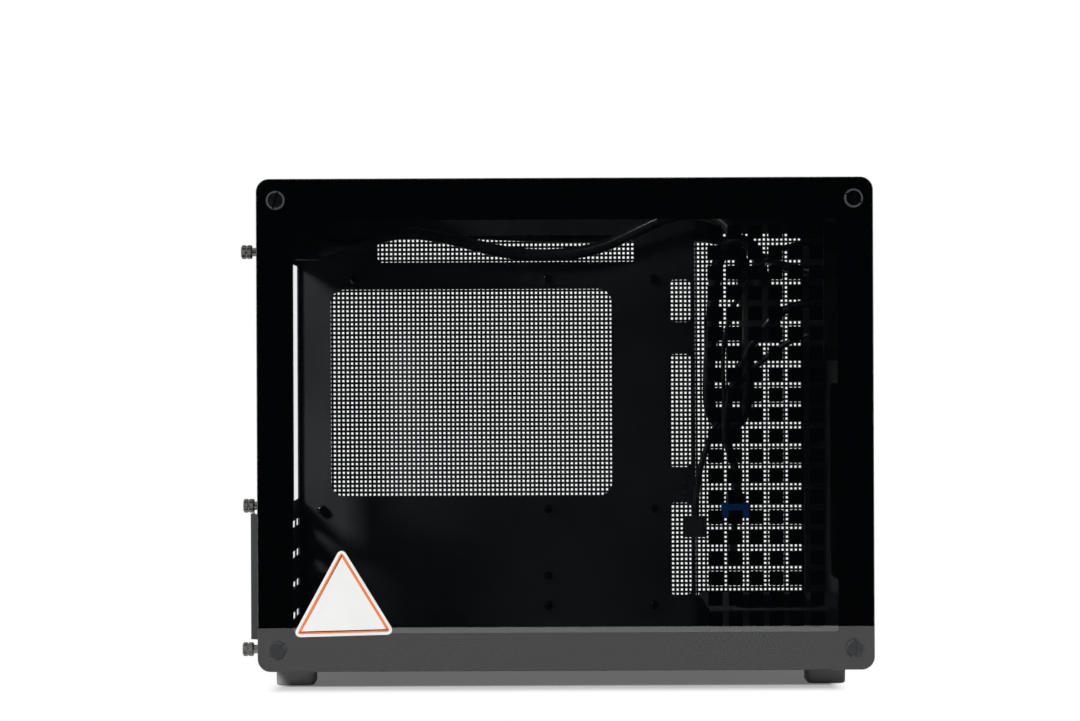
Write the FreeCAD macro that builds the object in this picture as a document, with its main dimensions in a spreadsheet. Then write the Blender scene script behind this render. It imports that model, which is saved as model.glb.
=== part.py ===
import FreeCAD, Part
import math
import os
import Sketcher

# Small computer case: a glass side, a perforated side, and the steel between them
# Millimetres. X runs from the rear to the front, Y from the glass to the perforated side, Z up

SIZES = {
    # Overall
    "case_width": 206.0,
    "foot_height": 12.0,
    "sheet": 1.0,
    "clearance": 0.4,
    "slide_gap": 0.3,
    "wrap_corner": 8.0,
    "rear_wrap": 18.8,
    # Glass and its print
    "glass_length": 392.0,
    "glass_height": 313.2,
    "glass_thick": 4.0,
    "glass_corner": 8.3,
    "glass_edge": 0.5,
    "glass_overhang": 1.2,
    "glass_hole": 5.0,
    "print_thick": 0.2,
    "print_inset": 0.8,
    "window_side": 22.7,
    "window_foot": 24.2,
    "window_head": 26.4,
    "window_corner": 3.0,
    "square_width": 9.0,
    "square_pitch": 12.96,
    "square_side": 8.9,
    "square_head": 3.8,
    "square_columns": 6,
    "square_rows": 20,
    # Screws of the glass
    "screw_inset_x": 12.5,
    "screw_inset_z": 13.7,
    "cap_width": 12.0,
    "cap_height": 2.4,
    "cap_bevel": 1.2,
    "cap_slot": 1.3,
    "cap_slot_depth": 0.9,
    "cap_shank": 4.0,
    "washer_thick": 3.0,
    "washer_width": 13.0,
    "nut_width": 8.0,
    "nut_height": 5.0,
    # Steel frame behind the glass
    "frame_border": 17.0,
    "frame_border_corner": 4.0,
    "frame_skirt": 12.0,
    "lip_width": 12.0,
    "lip_reach": 34.0,
    "lip_corner": 4.0,
    "lip_top": 44.1,
    "lip_low": 10.6,
    "far_lip_low": 21.8,
    "far_lip_top": 17.0,
    # Thumbscrews
    "thumb_reach": 23.0,
    "thumb_neck": 5.6,
    "thumb_neck_length": 5.2,
    "thumb_head": 9.0,
    "thumb_head_length": 7.0,
    "thumb_bevel": 0.7,
    "thumb_shank": 3.4,
    "thumb_shank_length": 6.0,
    # Perforated side
    "field_side": 26.8,
    "field_foot": 30.0,
    "field_head": 25.8,
    "field_columns": 12,
    "field_rows": 10,
    "field_bar": 7.0,
    # Rear wall
    "recess": 12.8,
    "pan_border": 34.8,
    "pan_foot": 15.0,
    "pan_top": 22.8,
    "bay_border": 13.8,
    "bay_top": 64.8,
    "bay_height": 112.0,
    "fan_gap_side": 4.2,
    "fan_gap_end": 32.0,
    "fan_screw_edge": 4.25,
    "fan_hole": 4.3,
    "fan_hub_share": 0.2125,
    "fan_rim": 3.0,
    "vent_blades": 16,
    "blade_gap_share": 0.0625,
    # Board and its openings
    "lead_space": 50.0,
    "tray_reach": 271.5,
    "tray_fold": 10.0,
    "board_setback": 15.2,
    "board_head": 58.9,
    "standoff_height": 6.5,
    "standoff_flats": 5.5,
    "standoff_bore": 2.6,
    "port_length": 158.75,
    "port_width": 44.45,
    "port_rise": 9.15,
    "port_gap": 4.35,
    # Expansion slots
    "slot_count": 4,
    "slot_pitch": 20.32,
    "slot_drop": 14.7,
    "slot_opening": 13.0,
    "slot_notch": 19.2,
    "slot_border": 6.0,
    "cover_width": 18.4,
    "cover_thick": 0.8,
    "cover_tab": 11.0,
    "cover_vent": 4.8,
    "cover_vent_gap": 7.0,
    "cover_lap": 3.0,
    "cover_end": 3.0,
    "cover_ear_rise": 4.2,
    "cover_ear_hole": 3.8,
    "guard_depth": 8.5,
    "guard_lap": 11.0,
    "guard_screw": 7.0,
    "guard_slope": 4.0,
    "guard_width": 24.0,
    "guard_ear": 14.0,
    # Tray openings
    "cpu_length": 192.6,
    "cpu_height": 141.7,
    "cpu_corner": 8.9,
    "cpu_setback": 6.4,
    "cpu_head": 6.9,
    "pass_length": 177.0,
    "pass_height": 18.4,
    "pass_corner": 3.0,
    "pass_setback": 38.8,
    "pass_rise": 11.7,
    "side_pass_width": 14.4,
    "side_pass_edge": 3.1,
    "side_pass_corner": 3.0,
    "pass_1_foot": 0.11,
    "pass_1_head": 0.314,
    "pass_2_foot": 0.3935,
    "pass_2_head": 0.6445,
    "pass_3_foot": 0.7157,
    "pass_3_head": 0.8096,
    # Front
    "front_channel": 11.4,
    "channel_cut_foot": 48.0,
    "channel_cut_gap": 12.0,
    "channel_cut_side": 30.0,
    "channel_cut_corner": 10.0,
    "bezel_width": 18.0,
    "bezel_height": 96.0,
    "bezel_border": 36.8,
    "bezel_top": 70.8,
    "bezel_proud": 0.8,
    "bezel_lip": 1.2,
    "button_width": 13.0,
    "button_travel": 1.5,
    "button_depth": 6.5,
    "button_collar": 1.0,
    "button_stem": 4.0,
    "button_drop": 14.0,
    "collar_rim": 1.0,
    "cap_edge": 0.3,
    "switch_depth": 5.0,
    "port_board_thick": 1.6,
    "port_board_depth": 24.0,
    "port_board_height": 90.0,
    "board_step": 3.0,
    "usb_width": 13.2,
    "usb_height": 5.8,
    "usb_depth": 14.6,
    "usb_wall": 0.4,
    "usb_back": 2.0,
    "usb_drop": 6.0,
    "usb_pitch": 18.0,
    "tongue_shift": 0.3,
    "tongue_thick": 1.9,
    "tongue_side": 1.0,
    "tongue_set_back": 1.5,
    "usb_c_width": 9.0,
    "usb_c_height": 3.3,
    "usb_c_depth": 9.0,
    "usb_c_wall": 0.3,
    "usb_c_base": 1.0,
    "usb_c_tongue": 0.7,
    "usb_c_rise": 13.0,
    "round_slack": 0.1,
    "jack_width": 6.4,
    "jack_bore": 3.6,
    "jack_depth": 11.0,
    "jack_rise": 9.0,
    # Mains inlet
    "inlet_width": 27.0,
    "inlet_height": 19.6,
    "inlet_depth": 17.0,
    "inlet_flange": 2.0,
    "inlet_rim": 2.0,
    "inlet_well": 13.5,
    "inlet_well_width": 24.2,
    "inlet_well_height": 16.6,
    "inlet_border": 26.5,
    "inlet_top": 13.5,
    "inlet_snap": 0.3,
    "inlet_corner": 4.5,
    "inlet_pin": 2.0,
    "inlet_pin_height": 4.0,
    "inlet_pin_pitch": 7.0,
    "boot_length": 12.0,
    # Sticker
    "sticker_side": 66.0,
    "sticker_thick": 0.2,
    "sticker_corner": 3.5,
    "sticker_x": -141.6,
    "sticker_z": 33.6,
    # Cords
    "mains_cord": 8.4,
    "usb_cord": 5.6,
    "audio_cord": 4.0,
    "usb_c_cord": 6.4,
    "usb_plug_width": 18.0,
    "usb_plug_height": 6.8,
    "usb_plug_length": 9.5,
    "usb_neck_width": 12.0,
    "usb_neck_height": 5.8,
    "usb_neck_length": 6.0,
    "audio_plug_width": 13.0,
    "audio_plug_height": 5.2,
    "audio_plug_length": 14.0,
    "usb_c_plug_width": 13.0,
    "usb_c_plug_height": 7.4,
    "usb_c_plug_length": 16.0,
    "switch_cord": 3.0,
    "switch_plug_width": 5.2,
    "switch_plug_height": 2.8,
    "switch_plug_length": 14.0,
    "plug_width": 27.0,
    "plug_height": 19.0,
    "plug_length": 38.0,
    "relief_length": 12.0,
    "relief_foot": 3.5,
    "relief_lip": 1.0,
    # Power supply carrier
    "supply_plate_thick": 1.2,
    "supply_plate_height": 34.0,
    "supply_far_gap": 18.8,
    "supply_near_gap": 4.0,
    "supply_holes": 64.0,
    "supply_hole_edge": 6.0,
    "supply_flange": 12.0,
    "supply_hole": 3.8,
    "supply_window": 18.0,
    "supply_window_corner": 8.0,
    "supply_leg": 5.5,
    "supply_leg_side": 3.0,
    "supply_leg_height": 107.0,
    "supply_leg_gap": 71.9,
    # Feet
    "foot_width": 24.4,
    "foot_depth": 30.0,
    "foot_corner": 5.0,
    "foot_taper": 1.2,
    "foot_rear": 10.0,
    "foot_front": 16.6,
    "foot_side": 12.0,
    # Vents of the wrap
    "vent_slot": 5.0,
    "vent_slot_length": 20.0,
    "vent_pitch_x": 12.0,
    "vent_pitch_y": 27.0,
    "vent_columns": 18,
    "vent_rows": 5,
    # Dust filter
    "filter_length": 250.0,
    "filter_side_gap": 46.8,
    "filter_thick": 1.6,
    "filter_border": 8.0,
    "filter_bars_x": 8,
    "filter_bars_y": 5,
    "filter_bar": 2.0,
    "filter_pull": 32.0,
    "rail_hold": 3.0,
    "rail_flange": 7.0,
    "rail_short": 6.0,
    "rail_wall": 1.0,
}


class Length:
    """A size that keeps its number beside the sheet formula it is bound by."""

    def __init__(self, number, text):
        self.number = number
        self.text = text

    def __add__(self, other):
        return Length(self.number + number(other), f"({self.text} + {text(other)})")

    def __radd__(self, other):
        return Length(number(other) + self.number, f"({text(other)} + {self.text})")

    def __sub__(self, other):
        return Length(self.number - number(other), f"({self.text} - {text(other)})")

    def __rsub__(self, other):
        return Length(number(other) - self.number, f"({text(other)} - {self.text})")

    def __mul__(self, other):
        return Length(self.number * number(other), f"({self.text} * {text(other)})")

    __rmul__ = __mul__

    def __truediv__(self, other):
        return Length(self.number / number(other), f"({self.text} / {text(other)})")

    def __neg__(self):
        return Length(-self.number, f"(0 - {self.text})")


def number(value):
    return value.number if isinstance(value, Length) else value


def text(value):
    return value.text if isinstance(value, Length) else f"({value})"


def least(first, second):
    return Length(min(number(first), number(second)), f"min({text(first)}; {text(second)})")


class Sizes:
    """Each driving size by its name."""


doc = FreeCAD.newDocument("ComputerCase")
sheet = doc.addObject("Spreadsheet::Sheet", "Sizes")
s = Sizes()
for row, (alias, value) in enumerate(SIZES.items(), start=1):
    sheet.set(f"A{row}", alias)
    sheet.set(f"B{row}", str(value))
    sheet.setAlias(f"B{row}", alias)
    setattr(s, alias, Length(value, f"Sizes.{alias}"))
doc.recompute()

# Planes of the case, worked out from the driving sizes
half = s.glass_length / 2
glass_foot = s.foot_height - s.glass_overhang
glass_head = glass_foot + s.glass_height
shell_x = half - s.glass_overhang
shell_foot = s.foot_height
shell_head = glass_head - s.glass_overhang
inner_foot = shell_foot + s.sheet
inner_head = shell_head - s.sheet
y_glass = -s.case_width / 2
y_print = y_glass + s.glass_thick
y_washer = y_print + s.print_thick
y_frame = y_washer + s.washer_thick
y_shell = y_frame + s.sheet
y_mesh = s.case_width / 2 - s.sheet
y_tray = y_mesh - s.lead_space
floor_out = s.recess - shell_x
floor_in = floor_out + s.sheet
seam_x = s.rear_wrap - shell_x
front_in = shell_x - s.front_channel
board_x = floor_in + s.board_setback
board_z = shell_head - s.board_head
ports_head = board_z + s.port_rise
ports_foot = ports_head - s.port_length
ports_far = y_tray - s.port_gap
tray_edge = floor_in + s.tray_reach
pan_near = y_shell + s.pan_border
pan_foot = shell_foot + s.pan_foot
pan_head = shell_head - s.pan_top
slot_far = y_tray - s.slot_border
bezel_y = y_shell + s.bezel_border
bezel_z = shell_head - s.bezel_top
lip_out = half
thumb_tip = lip_out + s.thumb_neck_length + s.thumb_head_length

# The origin stands below the middle of everything, screws and all
centre_x = (thumb_tip - half) / 2
centre_y = s.cap_height / 2

XY, XZ, YZ = "XY_Plane", "XZ_Plane", "YZ_Plane"
parts = {}


def bind(thing, name, value):
    thing.setExpression(name, text(value))


def place(thing, x=0.0, y=0.0, z=0.0, turn=None):
    """Stands a piece at its place, counted from the middle of the case."""
    if turn:
        thing.Placement = FreeCAD.Placement(FreeCAD.Vector(), turn)
    bind(thing, ".Placement.Base.x", centre_x + x)
    bind(thing, ".Placement.Base.y", centre_y + y)
    bind(thing, ".Placement.Base.z", Length(0.0, "0") + z)


def new_body(label, keep=True):
    body = doc.addObject("PartDesign::Body", label)
    body.Label = label
    body.AllowCompound = True
    if keep:
        parts[label] = body
    return body


class Profile:
    """A fully fixed sketch on one of a body's own planes."""

    def __init__(self, body, plane, at=0.0):
        self.body = body
        self.plane = plane
        self.sketch = body.newObject("Sketcher::SketchObject", "Profile")
        base = next(f for f in body.Origin.OriginFeatures if f.Role == plane)
        self.sketch.AttachmentSupport = [(base, "")]
        self.sketch.MapMode = "FlatFace"
        bind(self.sketch, "AttachmentOffset.Base.z", at * -1 if plane == XZ else at)
        self.rules = []
        self.formulas = {}

    def rule(self, *what, value=None):
        if value is None:
            self.rules.append(Sketcher.Constraint(*what))
            return
        if isinstance(value, Length):
            self.formulas[len(self.rules)] = value.text
        self.rules.append(Sketcher.Constraint(*what, number(value)))

    def fix(self, curve, end, x, y):
        """Pins a point of a curve at x and y from the sketch's origin."""
        self.rule("DistanceX", -1, 1, curve, end, value=x)
        self.rule("DistanceY", -1, 1, curve, end, value=y)

    def line(self, x0, y0, x1, y1):
        start = FreeCAD.Vector(number(x0), number(y0), 0)
        return self.sketch.addGeometry(Part.LineSegment(start, FreeCAD.Vector(number(x1), number(y1), 0)))

    def polygon(self, corners):
        count = len(corners)
        lines = [self.line(*corners[i], *corners[(i + 1) % count]) for i in range(count)]
        for i, line in enumerate(lines):
            self.rule("Coincident", line, 2, lines[(i + 1) % count], 1)
            self.fix(line, 1, *corners[i])
        return self

    def rectangle(self, x0, y0, x1, y1):
        return self.polygon([(x0, y0), (x1, y0), (x1, y1), (x0, y1)])

    def circle(self, x, y, radius):
        centre = FreeCAD.Vector(number(x), number(y), 0)
        ring = self.sketch.addGeometry(Part.Circle(centre, FreeCAD.Vector(0, 0, 1), number(radius)))
        self.rule("Radius", ring, value=radius)
        self.fix(ring, 3, x, y)
        return self

    def rounded(self, x0, y0, x1, y1, radius):
        """A rectangle whose corners are arcs of one radius."""
        left, right = x0 + radius, x1 - radius
        low, high = y0 + radius, y1 - radius
        sides = [
            self.line(left, y0, right, y0),
            self.line(x1, low, x1, high),
            self.line(right, y1, left, y1),
            self.line(x0, high, x0, low),
        ]
        arcs = []
        for i, (x, y) in enumerate([(right, low), (right, high), (left, high), (left, low)]):
            round_one = Part.Circle(
                FreeCAD.Vector(number(x), number(y), 0), FreeCAD.Vector(0, 0, 1), number(radius)
            )
            begin = (i - 1) * math.pi / 2
            arcs.append(self.sketch.addGeometry(Part.ArcOfCircle(round_one, begin, begin + math.pi / 2)))
        for i in range(4):
            self.rule("Tangent", sides[i], 2, arcs[i], 1)
            self.rule("Tangent", arcs[i], 2, sides[(i + 1) % 4], 1)
            self.rule("Horizontal" if i % 2 == 0 else "Vertical", sides[i])
        for arc in arcs[1:]:
            self.rule("Equal", arcs[0], arc)
        self.rule("Radius", arcs[0], value=radius)
        self.fix(arcs[3], 3, left, low)
        self.fix(arcs[1], 3, right, high)
        return self

    def close(self):
        if self.rules:
            self.sketch.addConstraint(self.rules)
            for index, formula in self.formulas.items():
                self.sketch.setExpression(f"Constraints[{index}]", formula)
        return self.sketch

    def feature(self, kind, depth, against):
        sketch = self.close()
        made = self.body.newObject(f"PartDesign::{kind}", kind)
        made.Profile = sketch
        bind(made, "Length", depth)
        made.Reversed = against
        sketch.Visibility = False
        return made

    def pad(self, depth):
        """Adds the profile's sheet, from its plane towards plus X, Y or Z."""
        return self.feature("Pad", depth, self.plane == XZ)

    def cut(self, depth):
        """Cuts the profile out, from its plane towards plus X, Y or Z."""
        return self.feature("Pocket", depth, self.plane != XZ)

    def spin(self):
        """Turns the profile once about the sketch's upright axis."""
        sketch = self.close()
        made = self.body.newObject("PartDesign::Revolution", "Turned")
        made.Profile = sketch
        made.ReferenceAxis = (sketch, ["V_Axis"])
        made.Angle = 360.0
        sketch.Visibility = False
        return made


def repeat(body, feature, *ways):
    """Repeats a feature along one or two of the body's axes: (axis, pitch, count) each."""
    steps = []
    for axis, pitch, count in ways:
        step = body.newObject("PartDesign::LinearPattern", "Row")
        step.Direction = (next(f for f in body.Origin.OriginFeatures if f.Role == axis), [""])
        bind(step, "Length", pitch * (count - 1))
        bind(step, "Occurrences", count)
        steps.append(step)
    if len(steps) == 1:
        steps[0].Originals = [feature]
        body.Tip = steps[0]
        return steps[0]
    grid = body.newObject("PartDesign::MultiTransform", "Grid")
    grid.Originals = [feature]
    grid.Transformations = steps
    body.Tip = grid
    return grid


def group(label, master, places):
    """One node of identical pieces: places holds (x, y, z, turn) of each."""
    links = []
    for x, y, z, turn in places:
        link = doc.addObject("App::Link", f"{label}_copy")
        link.LinkedObject = master
        place(link, x, y, z, turn)
        links.append(link)
    whole = doc.addObject("Part::Compound", label)
    whole.Label = label
    whole.Links = links
    parts[label] = whole
    return whole


def turned(x, y, z, angle):
    return FreeCAD.Rotation(FreeCAD.Vector(x, y, z), angle)


TO_GLASS = turned(1, 0, 0, 90)
TO_MESH = turned(1, 0, 0, -90)
TO_REAR = turned(0, 1, 0, -90)

screw_places = [
    (side * (half - s.screw_inset_x), z)
    for side in (-1, 1)
    for z in (glass_foot + s.screw_inset_z, glass_head - s.screw_inset_z)
]


def build_glass():
    body = new_body("glass_panel")
    outline = Profile(body, XZ, y_glass)
    outline.rounded(-half, glass_foot, half, glass_head, s.glass_corner)
    for x, z in screw_places:
        outline.circle(x, z, s.glass_hole / 2)
    pad = outline.pad(s.glass_thick)
    doc.recompute()
    edge = body.newObject("PartDesign::Chamfer", "PolishedEdge")
    faces = [
        f"Face{i}"
        for i, face in enumerate(pad.Shape.Faces, start=1)
        if face.BoundBox.YLength < 0.01
    ]
    edge.Base = (pad, faces)
    bind(edge, "Size", s.glass_edge)
    place(body)


window_front = half - s.window_side
window_head = glass_head - s.window_head


def build_print():
    body = new_body("glass_print")
    border = Profile(body, XZ, y_print)
    inset = s.print_inset
    border.rounded(inset - half, glass_foot + inset, half - inset, glass_head - inset,
                   s.glass_corner - inset)
    border.rounded(-window_front, glass_foot + s.window_foot, window_front, window_head, s.window_corner)
    for x, z in screw_places:
        border.circle(x, z, s.glass_hole / 2)
    border.pad(s.print_thick)
    right = window_front - s.square_side
    high = window_head - s.square_head
    first_x = right - s.square_width - s.square_pitch * (s.square_columns - 1)
    first_z = high - s.square_width - s.square_pitch * (s.square_rows - 1)
    square = Profile(body, XZ, y_print)
    square.rectangle(first_x, first_z, first_x + s.square_width, first_z + s.square_width)
    first = square.pad(s.print_thick)
    repeat(body, first, ("X_Axis", s.square_pitch, s.square_columns),
           ("Z_Axis", s.square_pitch, s.square_rows))
    place(body)


def build_glass_fixings():
    cap = new_body("glass_screw", keep=False)
    radius, bevel, shank = s.cap_width / 2, s.cap_bevel, s.cap_shank / 2
    length = s.glass_thick + s.print_thick + s.washer_thick + s.sheet + s.nut_height
    outline = Profile(cap, XZ)
    outline.polygon([
        (0.0, -length), (shank, -length), (shank, 0.0), (radius, 0.0),
        (radius, s.cap_height - bevel), (radius - bevel, s.cap_height), (0.0, s.cap_height),
    ])
    outline.spin()
    slot = Profile(cap, XY, s.cap_height - s.cap_slot_depth)
    slot.rectangle(-radius - 1, -s.cap_slot / 2, radius + 1, s.cap_slot / 2)
    slot.cut(s.cap_slot_depth + 1)
    slot_angles = (50.0, 75.0, 90.0, 150.0)
    group("glass_screws", cap, [
        (x, y_glass, z, TO_GLASS.multiply(turned(0, 0, 1, angle)))
        for (x, z), angle in zip(screw_places, slot_angles)
    ])
    washer = new_body("washer", keep=False)
    ring = Profile(washer, XY)
    ring.circle(0.0, 0.0, s.washer_width / 2)
    ring.circle(0.0, 0.0, shank + s.clearance / 2)
    ring.pad(s.washer_thick)
    group("glass_washers", washer, [(x, y_washer + s.washer_thick, z, TO_GLASS) for x, z in screw_places])
    nut = new_body("press_nut", keep=False)
    hexagon = Profile(nut, XY)
    hexagon.circle(0.0, 0.0, s.nut_width / 2)
    hexagon.circle(0.0, 0.0, shank + s.clearance / 4)
    hexagon.pad(s.nut_height)
    group("glass_nuts", nut, [(x, y_shell, z, TO_MESH) for x, z in screw_places])


def lip_places():
    """The upright middle of each lip that a thumbscrew passes."""
    return [shell_foot + s.lip_low, shell_head - s.lip_top]


def far_lip_places():
    """The same for the far side, whose lips lie on the floor of the recess, clear of its openings."""
    return [pan_foot + s.far_lip_low, pan_head - s.far_lip_top]


def add_lips(body, x_out, y_plate, towards, places):
    """Ears at the rear, outside the rear wall, each with a hole for its thumbscrew."""
    near, far = y_plate, y_plate + towards * s.lip_reach
    if towards < 0:
        near, far = far, near
    for z in places:
        ear = Profile(body, YZ, x_out)
        ear.rounded(near, z - s.lip_width / 2, far, z + s.lip_width / 2, s.lip_corner)
        ear.circle(y_plate + towards * s.thumb_reach, z, s.thumb_shank / 2 + s.clearance / 2)
        ear.pad(s.glass_overhang)


def build_side_frame():
    body = new_body("side_frame")
    plate = Profile(body, XZ, y_frame)
    plate.rounded(-shell_x, shell_foot, shell_x, shell_head, s.wrap_corner)
    border = s.frame_border
    plate.rounded(border - shell_x, shell_foot + border, shell_x - border, shell_head - border,
                  s.frame_border_corner)
    for x, z in screw_places:
        plate.circle(x, z, s.cap_shank / 2 + s.clearance / 2)
    plate.pad(s.sheet)
    add_skirt(body, y_shell)
    add_lip_webs(body, -lip_out, y_frame, y_shell, lip_places())
    add_lips(body, -lip_out, y_frame, 1, lip_places())
    place(body)


def add_skirt(body, y_plate, away=1):
    """The folded rim that locates a side inside the wrap."""
    gap = s.sheet + s.clearance
    start = y_plate if away > 0 else y_plate - s.frame_skirt
    rim = Profile(body, XZ, start)
    corner = s.wrap_corner - gap
    rim.rounded(gap - shell_x, shell_foot + gap, shell_x - gap, shell_head - gap, corner)
    inner = gap + s.sheet
    rim.rounded(inner - shell_x, shell_foot + inner, shell_x - inner, shell_head - inner, corner - s.sheet)
    rim.pad(s.frame_skirt)


def add_lip_webs(body, x_out, y_low, y_high, places):
    """The short stretch of plate that carries each ear past the rear wall."""
    for z in places:
        web = Profile(body, XZ, y_low)
        web.rectangle(x_out, z - s.lip_width / 2, x_out + s.wrap_corner, z + s.lip_width / 2)
        web.pad(y_high - y_low)


def build_mesh_panel():
    body = new_body("mesh_panel")
    plate = Profile(body, XZ, y_mesh)
    plate.rounded(-shell_x, shell_foot, shell_x, shell_head, s.wrap_corner)
    plate.pad(s.sheet)
    add_skirt(body, y_mesh, -1)
    notch = Profile(body, XZ, y_mesh - 1)
    notch.rectangle(-shell_x - 1, pan_foot, floor_out, pan_head)
    notch.cut(s.sheet + 2)
    gap = s.sheet + s.clearance
    notch = Profile(body, XZ, y_mesh - s.frame_skirt - 1)
    notch.rectangle(-shell_x - 1, pan_foot - gap, floor_out, pan_head + gap)
    notch.cut(s.frame_skirt + 1)
    rim = Profile(body, XZ, y_mesh - s.frame_skirt)
    rim.rectangle(floor_in + s.clearance, pan_foot + gap, floor_in + gap, pan_head - gap)
    rim.pad(s.frame_skirt)
    ear_out = floor_out - s.glass_overhang
    add_lip_webs(body, ear_out, y_mesh, y_mesh + s.sheet, far_lip_places())
    add_lips(body, ear_out, y_mesh + s.sheet, -1, far_lip_places())
    left = s.field_side - shell_x
    low = shell_foot + s.field_foot
    pitch_x = (shell_x * 2 - s.field_side * 2 + s.field_bar) / s.field_columns
    pitch_z = (shell_head - shell_foot - s.field_foot - s.field_head + s.field_bar) / s.field_rows
    hole = Profile(body, XZ, y_mesh)
    hole.rectangle(left, low, left + pitch_x - s.field_bar, low + pitch_z - s.field_bar)
    first = hole.cut(s.sheet)
    repeat(body, first, ("X_Axis", pitch_x, s.field_columns), ("Z_Axis", pitch_z, s.field_rows))
    place(body)


def build_thumbscrews():
    screw = new_body("thumbscrew", keep=False)
    neck, head = s.thumb_neck / 2, s.thumb_head / 2
    reach = s.thumb_neck_length + s.thumb_head_length
    outline = Profile(screw, XZ)
    outline.polygon([
        (0.0, -s.thumb_shank_length), (s.thumb_shank / 2, -s.thumb_shank_length), (s.thumb_shank / 2, 0.0),
        (neck, 0.0), (neck, s.thumb_neck_length), (head - s.thumb_bevel, s.thumb_neck_length),
        (head, s.thumb_neck_length + s.thumb_bevel), (head, reach - s.thumb_bevel),
        (head - s.thumb_bevel, reach), (0.0, reach),
    ])
    outline.spin()
    slot = Profile(screw, XY, reach - s.cap_slot)
    slot.rectangle(-head - 1, -s.cap_slot / 2, head + 1, s.cap_slot / 2)
    slot.cut(s.cap_slot + 1)
    near = y_frame + s.thumb_reach
    far = y_mesh + s.sheet - s.thumb_reach
    group("side_frame_thumbscrews", screw, [(-lip_out, near, z, TO_REAR) for z in lip_places()])
    group("mesh_panel_thumbscrews", screw, [(floor_out - s.glass_overhang, far, z, TO_REAR)
                                            for z in far_lip_places()])
    return screw


slot_first = ports_foot - s.slot_drop
slot_places = [slot_first - s.slot_pitch * i for i in range(int(SIZES["slot_count"]))]
guard_screw_y = pan_near - s.guard_screw
guard_screw_z = slot_first + s.slot_pitch * 0.75
bay_near = y_shell + s.bay_border
bay_head = shell_head - s.bay_top
bay_foot = bay_head - s.bay_height

# The fan is as large as the bay is tall, or as the space beside the port opening is wide
fan_side = least(s.bay_height - s.fan_gap_end, ports_far - s.port_width - bay_near - s.fan_gap_side)
fan_spacing = fan_side - s.fan_screw_edge * 2
fan_hub = fan_side * s.fan_hub_share
fan_vent = fan_side - s.fan_rim * 2
fan_y = bay_near + fan_side / 2 + s.clearance
fan_z = (bay_foot + bay_head) / 2
inlet_y = y_tray - s.inlet_border
inlet_z = pan_head - s.inlet_top


def pan_outline(grow, far):
    """The stepped recess of the rear wall, open to the far side, with its other edges grown by one amount."""
    near, bay = pan_near - grow, bay_near - grow
    return [
        (near, pan_foot - grow), (far, pan_foot - grow), (far, pan_head + grow), (near, pan_head + grow),
        (near, bay_head + grow), (bay, bay_head + grow), (bay, bay_foot - grow), (near, bay_foot - grow),
    ]


def build_rear_panel(thumb_hole):
    body = new_body("rear_panel")
    wrap = Profile(body, XZ, y_shell)
    wrap.rounded(-shell_x, shell_foot, shell_x, shell_head, s.wrap_corner)
    inner = s.sheet
    wrap.rounded(inner - shell_x, inner_foot, shell_x - inner, inner_head, s.wrap_corner - inner)
    wrap.pad(y_mesh - y_shell)
    front = Profile(body, XZ, y_shell - 1)
    front.rectangle(seam_x, shell_foot - 1, shell_x + 1, shell_head + 1)
    front.cut(y_mesh - y_shell + 2)
    Profile(body, YZ, -shell_x).polygon(pan_outline(s.sheet, y_mesh)).pad(s.recess + s.sheet)
    Profile(body, YZ, -shell_x - 1).polygon(pan_outline(Length(0.0, "0"), y_mesh + 1)).cut(s.recess + 1)
    ports = Profile(body, YZ, floor_out - 1)
    ports.rectangle(ports_far - s.port_width, ports_foot, ports_far, ports_head)
    ports.cut(s.sheet + 2)
    opening = Profile(body, YZ, floor_out - 1)
    lowest = slot_places[-1]
    opening.rectangle(pan_near, lowest - s.slot_opening / 2, slot_far, lowest + s.slot_opening / 2)
    first = opening.cut(s.sheet + 2)
    repeat(body, first, ("Z_Axis", s.slot_pitch, s.slot_count))
    notch = Profile(body, YZ, floor_out - 1)
    notch.rectangle(pan_near, lowest - s.slot_notch / 2, pan_near + s.cover_end, lowest + s.slot_notch / 2)
    first = notch.cut(s.sheet + 2)
    repeat(body, first, ("Z_Axis", s.slot_pitch, s.slot_count))
    inlet = Profile(body, YZ, floor_out - 1)
    half_y, half_z = s.inlet_width / 2 + s.inlet_snap, s.inlet_height / 2 + s.inlet_snap
    inlet.rectangle(inlet_y - half_y, inlet_z - half_z, inlet_y + half_y, inlet_z + half_z)
    inlet.cut(s.sheet + 2)
    holes = Profile(body, YZ, floor_out - 1)
    for side_y in (-1, 1):
        for side_z in (-1, 1):
            holes.circle(fan_y + side_y * fan_spacing / 2, fan_z + side_z * fan_spacing / 2,
                         s.fan_hole / 2)
    holes.cut(s.sheet + 2)
    screws = Profile(body, YZ, -shell_x - 1)
    for z in lip_places():
        screws.circle(y_frame + s.thumb_reach, z, thumb_hole)
    screws.circle(guard_screw_y, guard_screw_z, thumb_hole)
    screws.cut(s.sheet + 2)
    screws = Profile(body, YZ, floor_out - 1)
    for z in far_lip_places():
        screws.circle(y_mesh + s.sheet - s.thumb_reach, z, thumb_hole)
    screws.cut(s.sheet + 2)
    blade = Profile(body, YZ, floor_out - 1)
    half_gap = fan_side * s.blade_gap_share / 2
    blade.rectangle(fan_y + fan_hub, fan_z - half_gap, fan_y + fan_vent / 2, fan_z + half_gap)
    first = blade.cut(s.sheet + 2)
    doc.recompute()
    hub = Profile(body, YZ, floor_in)
    bind(hub.sketch, "AttachmentOffset.Base.x", fan_y)
    bind(hub.sketch, "AttachmentOffset.Base.y", fan_z)
    hub.circle(0.0, 0.0, fan_hub)
    wheel = body.newObject("PartDesign::PolarPattern", "Blades")
    wheel.Originals = [first]
    wheel.Axis = (hub.close(), ["N_Axis"])
    wheel.Angle = 360.0
    bind(wheel, "Occurrences", s.vent_blades)
    body.Tip = wheel
    place(body)


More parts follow.
